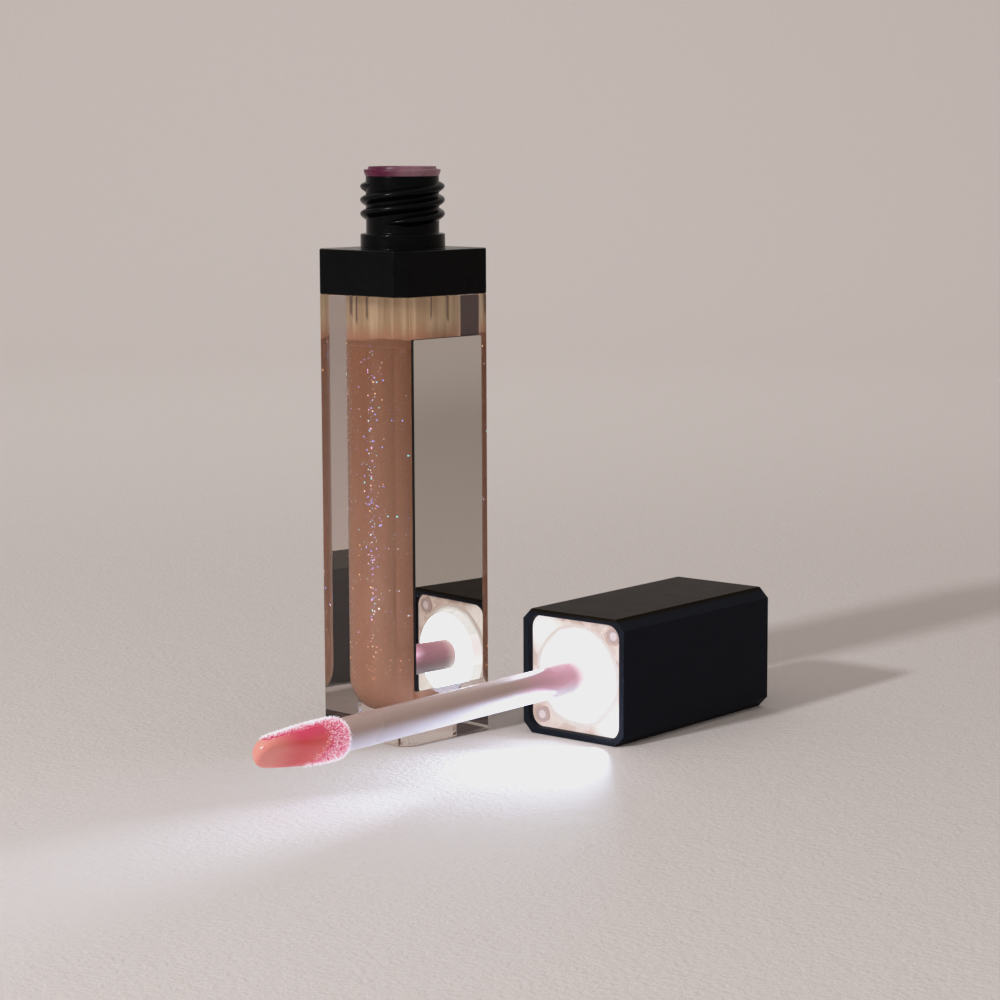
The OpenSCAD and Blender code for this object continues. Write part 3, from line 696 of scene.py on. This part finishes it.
wiper_rings = turned([
    (LIP_RADIUS, WIPER_FOOT, 0.08), (3.2, WIPER_FOOT, 0.2), (TUBE_RADIUS, CONE_TOP, 0.5),
    (TUBE_RADIUS, NECK_TOP, 0.05), (NECK_ROOT, NECK_TOP, 0.05), (RIM_RADIUS, RIM_LOW, 0.1),
    (RIM_RADIUS, RIM_TOP - 0.02, 0.08), (SEAL_RADIUS + 0.1, RIM_TOP + 0.04, 0.03),
    (SEAL_RADIUS, SEAL_TOP, 0.08), (4.9, SEAL_TOP, 0.08), (WIPER_BORE, NECK_TOP, 0.6),
    (WIPER_BORE, CONE_TOP, 0.5), (LIP_RADIUS, CONE_TOP - 1, 0.3), (LIP_RADIUS, WIPER_FOOT + 0.3, 0)])
finished("wiper_bush", tidy_mesh("wiper_bush", shell(wiper_rings, loop=True), BOTTLE), wiper_plastic,
         "bottle", "pink_plastic", "wiper")

# ---------- The mirror ----------
# A thin plate of clear plastic silvered behind, with polished edges that get a painted dark shade for
# how dark they look.
# A black adhesive film holds it to the bottle's front right face.
MIRROR_MIDDLE, MIRROR_HALF, MIRROR_LOW, MIRROR_HIGH = -0.8, 7.35, 8.75, 63.15
FILM_THICK, MIRROR_THICK, MIRROR_CORNER, MIRROR_BEVEL = 0.12, 0.5, 0.25, 0.06
MIRROR_BACK = -BODY_HALF - FILM_THICK
MIRROR_FRONT = MIRROR_BACK - MIRROR_THICK


def plate_ring(inset, y):
    """A ring round the plate's outline, drawn in by inset."""
    low_x, high_x = MIRROR_MIDDLE - MIRROR_HALF + inset, MIRROR_MIDDLE + MIRROR_HALF - inset
    low_z, high_z = MIRROR_LOW + inset, MIRROR_HIGH - inset
    corners = [(x, z, MIRROR_CORNER)
               for x, z in ((low_x, low_z), (high_x, low_z), (high_x, high_z), (low_x, high_z))]
    return [(p.x, y, p.y) for p in rounded(corners, 5)]


silver = Finish("silvered_plate")
silver_low = silver.mix(silver.grain(0.02, 2), shade(205, 200, 192), shade(211, 206, 198))
# painted reflection: the silver is painted paler towards its top
silver.skin(Base_Color=silver.mix(silver.step(silver.part("Z"), 0.048, 0.062), silver_low,
                                  shade(240, 235, 228)),
            Metallic=1.0, Roughness=silver.step(silver.grain(0.004, 4), 0.5, 0.85, 0.012, 0.05))
# painted shade: the plate's edges are a dark colour
edge_dark = mottled("mirror_edge", 0.001, 2, (14, 13, 13), (34, 31, 31),
                    Roughness=0.35, Specular_IOR_Level=0.1)
mirror_mesh = tidy_mesh("mirror", shell([
    plate_ring(0, MIRROR_BACK), plate_ring(0, MIRROR_FRONT + MIRROR_BEVEL),
    plate_ring(MIRROR_BEVEL, MIRROR_FRONT)]), BOTTLE)
finished("mirror", mirror_mesh, silver, "bottle", "mirror", "mirror_plate")
mirror_mesh.materials.append(edge_dark.material)
face_way = BOTTLE.to_3x3().normalized() @ Vector((0, -1, 0))
for polygon in mirror_mesh.polygons:
    polygon.material_index = 0 if polygon.normal.dot(face_way) > 0.99 else 1


def dress(finish, *nodes):
    """Gives CAD nodes their finish."""
    for node in nodes:
        materials = frame["nodes"][node].data.materials
        materials.clear()
        materials.append(finish.material)


dress(mottled("adhesive_film", 0.002, 3, (18, 17, 17), (34, 32, 32), Roughness=0.5), "mirror_film")

# ---------- The cap's shell ----------
# The square black shell that all the cap's works are pushed into from its mouth. It is as wide as
# the bottle, moulded with a closed far end, and satin rather than polished.
CAP_LONG, CAVITY_DEEP, CAVITY_HALF, CAVITY_ROUND = 39.4, 38.2, 9.0, 2.2
shell_low, shell_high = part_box("cap_shell")
cap_middle = (shell_low + shell_high) / 2
CAP = (Matrix.Translation((shell_low.x, cap_middle.y, cap_middle.z))
       @ Matrix(((0, 0, 1, 0), (1, 0, 0, 0), (0, 1, 0, 0), (0, 0, 0, 1))) @ Matrix.Scale(MM, 4))


def soft_square(half, corner, z):
    """A ring round a square with round corners."""
    corners = [(half * x, half * y, corner) for x, y in ((1, 1), (-1, 1), (-1, -1), (1, -1))]
    return [(p.x, p.y, z) for p in rounded(corners, 2 * CORNER_STEPS + 1)]


satin_black = Finish("satin_black")
satin_black.skin(
    # painted reflection: the top face is painted browner than the sides
    Base_Color=satin_black.mix(
        satin_black.step(satin_black.part("Z") - cap_middle.z, 0.0092, 0.0099),
        satin_black.mix(satin_black.grain(0.006, 4), shade(28, 30, 36), shade(32, 34, 41)),
        shade(26, 20, 12)),
    Roughness=satin_black.step(satin_black.grain(0.003, 5), 0.3, 0.8, 0.24, 0.27),
    Specular_IOR_Level=0.006, Normal=satin_black.bump(satin_black.grain(0.00025, 3), 0.00001, 0.2))
cap_rings = square_part([(8.6, CAP_LONG, 0), (BODY_HALF, CAP_LONG, 0.3),
                         (BODY_HALF, 0, 0.15), (9.7, 0, 0)])
cap_rings += [soft_square(p.x, CAVITY_ROUND - (CAVITY_HALF - p.x), p.y) for p in rounded([
    (CAVITY_HALF + 0.3, 0, 0), (CAVITY_HALF, 0, 0.12), (CAVITY_HALF, CAVITY_DEEP, 0.3),
    (7.5, CAVITY_DEEP, 0)], 4, closed=False)]
finished("cap", tidy_mesh("cap", shell(cap_rings), CAP), satin_black,
         "cap", "black_plastic", "cap_shell")

# ---------- The light guide, the sleeve and the pins ----------
# A clear block fills the shell's mouth and carries the light of two lamps to its face. The white
# sleeve in it takes the neck, and two clear pins hold the stack together.
LAMP_PLACE, LAMP_PROUD = 6.8, 0.3
LAMP_LIGHT, WHITE_LIGHT = (0.6, 0.74, 1.0), (1.0, 1.0, 1.0, 1.0)
cap_rim = shell_low.x


def lamp_glow(finish, reach):
    """1 beside either lamp and 0 further off than reach."""
    y, z = finish.part("Y") - cap_middle.y, finish.part("Z") - cap_middle.z
    glow = None
    for side in (-1, 1):
        across_lamp, above_lamp = y - side * LAMP_PLACE * MM, z - side * LAMP_PLACE * MM
        distance = (across_lamp * across_lamp + above_lamp * above_lamp).root()
        one = finish.step(distance, reach * 0.35, reach, 1.0, 0.0)
        glow = one if glow is None else glow.most(one)
    return glow


guide_plastic = Finish("light_guide_plastic")
guide_glow = lamp_glow(guide_plastic, 0.0046)
guide_cloud = guide_plastic.grain(0.003, 3, rough=0.45)
# painted light: the face glows white beside the lamps and a clouded beige elsewhere
guide_plastic.skin(
    Base_Color=guide_plastic.mix(guide_cloud, shade(150, 132, 124), shade(176, 162, 158)),
    Roughness=guide_plastic.step(guide_cloud, 0.3, 0.7, 0.15, 0.4), IOR=1.49, Transmission_Weight=0.15,
    Emission_Color=guide_plastic.mix(guide_glow, guide_plastic.mix(
        guide_plastic.step(guide_cloud, 0.35, 0.65),
        shade(176, 156, 146), shade(204, 188, 182)), WHITE_LIGHT),
    Emission_Strength=0.7,
    Normal=guide_plastic.bump(guide_plastic.grain(0.0009, 3), 0.00005, 0.6))
dress(guide_plastic, "light_guide")

sleeve_white = Finish("lit_white_plastic")
sleeve_y, sleeve_z = sleeve_white.part("Y") - cap_middle.y, sleeve_white.part("Z") - cap_middle.z
sleeve_far = (sleeve_y * sleeve_y + sleeve_z * sleeve_z).root()
sleeve_rim_shade = sleeve_white.step(sleeve_far + sleeve_white.grain(0.004, 2) * 0.0012, 0.0077, 0.0084)
# painted light: the sleeve glows almost white, with a painted tan shade round its rim
sleeve_white.skin(
    Base_Color=sleeve_white.mix(sleeve_white.grain(0.002, 3),
                                shade(118, 118, 120), shade(136, 135, 137)),
    Roughness=0.4, Emission_Strength=0.95,
    Emission_Color=sleeve_white.mix(sleeve_rim_shade, (0.98, 0.98, 1.0, 1.0), shade(196, 178, 170)),
    Normal=sleeve_white.bump(sleeve_white.grain(0.0012, 2), 0.00003, 0.4))
dress(sleeve_white, "neck_socket")

PIN_PLACE, PIN_RADIUS = 7.05, 0.8
pin_plastic = Finish("clear_pins")
pin_y, pin_z = pin_plastic.part("Y") - cap_middle.y, pin_plastic.part("Z") - cap_middle.z
pin_off = None
for side in (-1, 1):
    off_y, off_z = pin_y - side * PIN_PLACE * MM, pin_z + side * PIN_PLACE * MM
    pin_far = (off_y * off_y + off_z * off_z).root()
    pin_off = pin_far if pin_off is None else pin_off.least(pin_far)
pin_rim_shade = pin_plastic.step(pin_off, PIN_RADIUS * 0.7 * MM, PIN_RADIUS * 0.95 * MM)
# painted light and shade: the pins glow, pale in the middle and darker towards their rims
pin_plastic.skin(
    Base_Color=pin_plastic.mix(pin_rim_shade, shade(170, 160, 166), shade(140, 124, 122)),
    Roughness=0.12, IOR=1.49, Transmission_Weight=0.3,
    Emission_Color=pin_plastic.mix(pin_rim_shade, shade(206, 192, 194), shade(168, 148, 144)),
    Emission_Strength=0.6,
    Normal=pin_plastic.bump(pin_plastic.grain(0.0006, 2), 0.00003, 0.4))
dress(pin_plastic, "fixing_pins")


def mouth_lamp(name, side, height, power, width, turn, spread):
    """A lamp of the cap's mouth, placed in millimetres off its middle. It shines out along the wand,
    turned a little sideways, both in degrees."""
    place = Vector((cap_rim - LAMP_PROUD * MM, cap_middle.y + side * MM, cap_middle.z + height * MM))
    way = Vector((-math.cos(math.radians(turn)), math.sin(math.radians(turn)), 0))
    light = lamp(name, place, place + way, power, width, LAMP_LIGHT)
    light.data.spread = math.radians(spread)
    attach(light, "cap")
    return light


# the glow and the low lamp light all but the wand, the next two the wand, and the beam the table
mouth_glow = mouth_lamp("mouth_glow", 0, 0, 0.0042, 0.0135, 0, 140)
low_lamp = mouth_lamp("low_lamp", -LAMP_PLACE, -LAMP_PLACE, 0.021, 0.003, 3, 90)
wand_lamps = [mouth_lamp("wand_lamp_low", -5.2, -7.1, 0.0095, 0.003, 3, 78),
              mouth_lamp("wand_lamp_high", 6.2, 6.2, 0.0075, 0.003, -3, 78)]
far_beam = mouth_lamp("far_beam", -7.6, 0, 0.0058, 0.002, 5.6, 30)
lit_table = bpy.data.collections.new("lit_table")
lit_table.objects.link(table)
far_beam.light_linking.receiver_collection = lit_table

# ---------- The cap's works ----------
# Liner, pressure plate and return spring work the switch. Behind them are the rod's holder, the
# board with its lamps, and a holder with three button cells between brass contacts.
# painted light: the liner foam glows almost white
dress(mottled("liner_foam", 0.0004, 3, (214, 210, 204), (236, 233, 228),
              bumps=(0.0003, 3, 0.00005, 0.8), Roughness=0.85,
              Emission_Color=(1.0, 0.98, 0.98, 1.0), Emission_Strength=0.6), "sealing_liner")
dress(mottled("moulded_white", 0.003, 3, (226, 226, 224), (240, 240, 238),
              bumps=(0.0008, 2, 0.00002, 0.4), Roughness=0.42), "pressure_plate", "rod_holder")
spring_steel = mottled("spring_steel", 0.0006, 3, (168, 168, 170), (206, 206, 208),
                       worn=(0.0004, 3, 0.2, 0.4), Metallic=1.0)
dress(spring_steel, "battery_spring")


def merged_copy(name, node):
    """A copy of a CAD node's mesh with its loose triangles joined."""
    form = bmesh.new()
    form.from_mesh(frame["nodes"][node].data)
    bmesh.ops.remove_doubles(form, verts=form.verts, dist=1e-6)
    mesh = bpy.data.meshes.new(name)
    form.to_mesh(mesh)
    form.free()
    return mesh


# the return spring is a copy of its CAD node, with a mesh of its own
plate_spring = finished("plate_spring", merged_copy("plate_spring", "return_spring"), spring_steel,
                        "cap", "spring_steel", "return_spring")
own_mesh(plate_spring)

dress(mottled("board_lacquer", 0.001, 4, (14, 74, 44), (24, 98, 60),
              bumps=(0.0006, 3, 0.00003, 0.4), Roughness=0.3), "circuit_board")
dress(mottled("lamp_lens", 0.001, 2, (250, 246, 214), (255, 252, 238), Roughness=0.3,
              Emission_Color=(0.93, 0.95, 1.0, 1.0), Emission_Strength=6.0), "lights")
dress(mottled("switch_plastic", 0.0006, 3, (28, 28, 30), (44, 44, 46), Roughness=0.45), "switch_body")
dress(mottled("button_plastic", 0.0004, 3, (150, 24, 20), (182, 36, 30), Roughness=0.38),
      "switch_button")
dress(mottled("holder_plastic", 0.003, 3, (120, 122, 124), (140, 142, 144),
              bumps=(0.0007, 3, 0.00003, 0.5), Roughness=0.5), "battery_holder")
dress(mottled("contact_brass", 0.0012, 4, (176, 142, 74), (206, 176, 106),
              worn=(0.0008, 3, 0.25, 0.42), Metallic=1.0), "front_contact", "rear_contact")
dress(mottled("cell_steel", 0.001, 4, (186, 186, 184), (214, 213, 210),
              worn=(0.0009, 4, 0.18, 0.34), Metallic=1.0), "cell_1", "cell_2", "cell_3")

# ---------- The rod ----------
# A frosted clear plastic rod, held by its head in the cap, with the tip's root in its end. Wet
# gloss still clings to it and turns pink where it lies thick by the cap's mouth.
ROD_RADIUS, ROD_END, ROD_HEAD = 2.45, -51.7, 20.8
HEAD_RADIUS, HEAD_LONG = ROD_RADIUS + 0.65, 0.9
TENON_RADIUS, TENON_LONG, OVER_TIP = 1.4, 5.9, 1.85
rod_plastic = Finish("frosted_rod")
rod_x, rod_z = rod_plastic.part("X") - cap_rim, rod_plastic.part("Z") - cap_middle.z
rod_wet = rod_plastic.grain(0.005, 1, (0.3, 1, 1))
pink_smear = (rod_plastic.step(rod_x, -0.018, -0.007) * rod_plastic.step(rod_z, -0.0018, 0.0008)
              * rod_plastic.step(rod_plastic.grain(0.004, 1, (0.5, 1, 1)), 0.1, 0.8, 0.6, 1.0))
smear_glow = rod_plastic.mix(pink_smear, (0, 0, 0, 1), (0.15, 0.12, 0.16, 1.0))
# painted light and shade: the lower half of the rod is painted pale lavender and the upper half tan
rod_painted_light_and_shade = rod_plastic.mix(rod_plastic.step(rod_z, -0.0012, 0.0012),
                            rod_plastic.mix(rod_wet, shade(200, 192, 202), shade(210, 203, 212)),
                            rod_plastic.mix(rod_wet, shade(174, 148, 140), shade(186, 160, 150)))
rod_plastic.skin(
    Base_Color=rod_plastic.mix(pink_smear, rod_painted_light_and_shade, shade(204, 128, 146)),
    Roughness=rod_plastic.step(rod_wet, 0.3, 0.7, 0.26, 0.3),
    Subsurface_Weight=0.25, Subsurface_Radius=(1.0, 0.85, 0.8), Subsurface_Scale=0.001,
    Coat_Weight=0.2, Coat_Roughness=0.3,
    # painted light: the rod glows white inside the mouth and faintly lilac in the pink smear
    Emission_Color=rod_plastic.mix(rod_plastic.step(rod_x, -0.0026, 0.0016), smear_glow, WHITE_LIGHT),
    Emission_Strength=1.0,
    Normal=rod_plastic.bump(rod_plastic.grain(0.0006, 2), 0.00001, 0.2))
rod_rings = turned([
    (0.3, ROD_END - TENON_LONG, 0), (TENON_RADIUS, ROD_END - TENON_LONG, 0.2),
    (TENON_RADIUS, ROD_END - OVER_TIP, 0), (ROD_RADIUS, ROD_END - OVER_TIP, 0.1),
    (ROD_RADIUS, ROD_HEAD, 0.05), (HEAD_RADIUS, ROD_HEAD, 0.1),
    (HEAD_RADIUS, ROD_HEAD + HEAD_LONG, 0.1), (0.3, ROD_HEAD + HEAD_LONG, 0)])
finished("rod", tidy_mesh("rod", shell(rod_rings), CAP), rod_plastic,
         "cap", "frosted_plastic", "applicator_rod")

# ---------- The tip ----------
# A soft doe-foot with a slanted applying face. Its foam body is flocked with short nylon hairs.
# Wet gloss covers its front and nose, and glues the hairs down there.
FLOCK_DEPTH, BARE_ROOT, BELLY = 0.26, 1.9, 1.1
ROOT_NARROWER, ROOT_LOWER = 0.17, 0.2
SKIN_GRID, SKIN_SOFTENING = 0.00016, 260
tip_low, tip_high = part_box("applicator_tip")
tip_blank = link_object("tip_blank", merged_copy("tip_blank", "applicator_tip"))
remesh = tip_blank.modifiers.new("even skin", "REMESH")
remesh.mode, remesh.voxel_size = "VOXEL", SKIN_GRID
smooth = tip_blank.modifiers.new("soft edges", "SMOOTH")
smooth.factor, smooth.iterations = 0.5, SKIN_SOFTENING
soft_tip = bpy.data.meshes.new_from_object(
    tip_blank.evaluated_get(bpy.context.evaluated_depsgraph_get()))
bpy.data.objects.remove(tip_blank)


def held(value):
    """The value, held between 0 and 1."""
    return max(0.0, min(1.0, value))


# the root is drawn in to fit the rod's end, and the belly under the slant is a little deeper
for vertex in soft_tip.vertices:
    near_rod = held(((vertex.co.x - tip_high.x) / MM + BARE_ROOT + 0.3) / 0.4)
    side, height = vertex.co.y - cap_middle.y, vertex.co.z - cap_middle.z
    vertex.co.y = cap_middle.y + side * (1 - ROOT_NARROWER * near_rod)
    vertex.co.z = cap_middle.z + height * (BELLY if height < 0 else 1.0) * (1 - ROOT_LOWER * near_rod)
WET_WAY = Vector((-0.15, -0.98, -0.12)).normalized()
WET_FROM, WET_FADE, NOSE_FROM = 4.8, 3.2, 12.0


def wetness(place, normal):
    """From 0 on dry flock to 1 where gloss covers the hairs."""
    from_rod = (tip_high.x - place.x) / MM
    height = (place.z - cap_middle.z) / MM
    ripple = noise.noise(place * 900) + 0.5 * noise.noise(place * 2600)
    along_tip = (from_rod - WET_FROM + 0.55 * height + 1.2 * ripple) / WET_FADE
    front = max((normal.dot(WET_WAY) + 0.04 + 0.14 * ripple) / 0.38,
                (from_rod - NOSE_FROM - 1.7 * height) * 1.2)
    return held(along_tip) * held(front)


def moved_tip(depths):
    """The tip's skin as a form, moved along its normals by depths, in millimetres."""
    form = bmesh.new()
    form.from_mesh(soft_tip)
    form.normal_update()
    moves = [v.normal * depths(wetness(v.co, v.normal)) * MM for v in form.verts]
    for vertex, move in zip(form.verts, moves):
        vertex.co += move
    return form


flock = Finish("flock")
reach = flock.node("ShaderNodeAttribute", {"attribute_name": "reach"}, out="Fac")
flock_root = flock.mix(flock.grain(0.0008, 2), shade(216, 72, 112), shade(236, 112, 154))
flock.skin(
    # painted highlight: the hairs are painted near white towards their tips, and the tips glow faintly
    Base_Color=flock.mix(flock.step(reach, 0.3, 0.95), flock_root, shade(255, 246, 252)),
    Emission_Color=flock.mix(flock.step(reach, 0.4, 1.0), (0, 0, 0, 1), (1.0, 0.9, 0.97, 1.0)),
    Emission_Strength=0.3, Roughness=0.5, Specular_IOR_Level=0.4)
finished("tip", tidy_mesh("tip", moved_tip(lambda wet: -FLOCK_DEPTH), Matrix()), flock, "cap", "flock",
         "applicator_tip")

root_mesh = tidy_mesh("tip_roots", moved_tip(lambda wet: -FLOCK_DEPTH), Matrix())
dry = root_mesh.attributes.new("dry", "FLOAT", "POINT")
for root, vertex in zip(dry.data, soft_tip.vertices):
    bare = held(((vertex.co.x - tip_high.x) / MM + BARE_ROOT) / 0.5)
    root.value = held(1.0 - 1.15 * wetness(vertex.co, vertex.normal) - bare)

hairs = Recipe("flock_hairs", Per_square_metre=("Float", 4.2e7), Long=("Float", 0.00068),
               Thick=("Float", 0.00003), Lean=("Float", 0.55), Seed=("Int", 7))
spread = hairs.node("GeometryNodeDistributePointsOnFaces", {"distribute_method": "RANDOM"}, {
    "Mesh": hairs.given("Geometry"), "Seed": hairs.given("Seed"),
    "Density": hairs.given("Per_square_metre") * hairs.node(
        "GeometryNodeInputNamedAttribute", {"data_type": "FLOAT"}, {"Name": "dry"})})
hair = hairs.node("GeometryNodeMeshCone", {"fill_type": "NGON"}, {
    "Vertices": 4, "Side Segments": 1, "Radius Top": hairs.given("Thick") * 0.5,
    "Radius Bottom": hairs.given("Thick"), "Depth": hairs.given("Long")})
height_on_hair = hairs.node("ShaderNodeSeparateXYZ", None,
                            {0: hairs.node("GeometryNodeInputPosition")}, out="Z")
hair = hairs.node("GeometryNodeStoreNamedAttribute", {"data_type": "FLOAT", "domain": "POINT"}, {
    0: hair, "Name": "reach", "Value": height_on_hair / hairs.given("Long")})
planted = hairs.node("GeometryNodeInstanceOnPoints", None, {
    "Points": spread, "Instance": hair, "Rotation": tilted(hairs, spread, hairs.given("Lean"), 11),
    "Scale": hairs.node("ShaderNodeCombineXYZ", None, {0: 1.0, 1: 1.0, 2: chance(hairs, 23, 0.6, 1.0)})})
hairs.result(planted, flock)
finished("tip_hairs", hairs.run("tip_hairs", root_mesh), flock, "cap", "flock")

# the gloss is a coat that dives under the flock where the tip is dry, with a few beads on the nose
COAT_UNDER, COAT_THICK, COAT_SMOOTHING = 0.6, 0.65, 12
BEADS = (((-0.8, -0.6, 0.25), 0.17), ((-0.75, -0.66, 0.05), 0.12), ((-0.7, -0.7, 0.2), 0.1),
         ((-0.55, -0.7, -0.6), 0.12), ((-0.2, -0.9, -0.55), 0.09))
coat_form = moved_tip(lambda wet: COAT_THICK * held(wet * 1.5) - COAT_UNDER)
for _ in range(COAT_SMOOTHING):
    bmesh.ops.smooth_vert(coat_form, verts=coat_form.verts, factor=0.5,
                          use_axis_x=True, use_axis_y=True, use_axis_z=True)
nose = Vector((tip_low.x + 2.6 * MM, cap_middle.y, cap_middle.z - 0.6 * MM))
coat_points = [v.co.copy() for v in coat_form.verts]
for way, size in BEADS:
    seat = max(coat_points, key=lambda p: (p - nose).dot(Vector(way)))
    bmesh.ops.create_icosphere(coat_form, subdivisions=2, radius=size * MM,
                               matrix=Matrix.Translation(seat))
wet_gloss = Finish("wet_gloss")
wet_x, wet_z = wet_gloss.part("X") - tip_low.x, wet_gloss.part("Z") - cap_middle.z
wet_red = wet_gloss.mix(wet_gloss.step(wet_x, 0.006, 0.013), shade(204, 70, 72), shade(216, 92, 92))
wet_shade = wet_gloss.mix(
    wet_gloss.step(wet_x, 0.001, 0.0075), shade(216, 132, 120),
    wet_gloss.mix(wet_gloss.step(wet_z, 0.0006, 0.0024), wet_red, shade(204, 48, 86)))
wet_gloss.skin(
    # painted light: the gloss glows faintly in its own colour
    Base_Color=wet_shade, Emission_Color=wet_shade, Emission_Strength=0.2,
    Roughness=wet_gloss.step(wet_gloss.grain(0.001, 3), 0.4, 0.7, 0.12, 0.24), IOR=1.47,
    Subsurface_Weight=0.25, Subsurface_Radius=(1.0, 0.3, 0.25), Subsurface_Scale=0.001,
    Coat_Weight=0.5, Coat_Roughness=0.06,
    Normal=wet_gloss.bump(wet_gloss.grain(0.0007, 3), 0.00006, 0.4))
finished("tip_gloss", tidy_mesh("tip_gloss", coat_form, Matrix()), wet_gloss, "cap", "lip_gloss")

# ---------- The wand's light ----------
# The small lamp on the left throws no shadow of the thin wand. The mouth's glow and its low lamp
# are too strong for the rod so close to them, so the wand has two weaker lamps of its own.
all_but_wand = bpy.data.collections.new("all_but_wand")
for thing in bpy.context.scene.objects:
    if thing.type == "MESH" and not thing.name.startswith(("rod", "tip", "applicator")):
        all_but_wand.objects.link(thing)
key_lamp.light_linking.blocker_collection = all_but_wand
mouth_glow.light_linking.receiver_collection = low_lamp.light_linking.receiver_collection = all_but_wand
wand = bpy.data.collections.new("wand")
for thing in bpy.context.scene.objects:
    if thing.type == "MESH" and thing.name not in all_but_wand.objects:
        wand.objects.link(thing)
for wand_lamp in wand_lamps:
    wand_lamp.light_linking.receiver_collection = wand
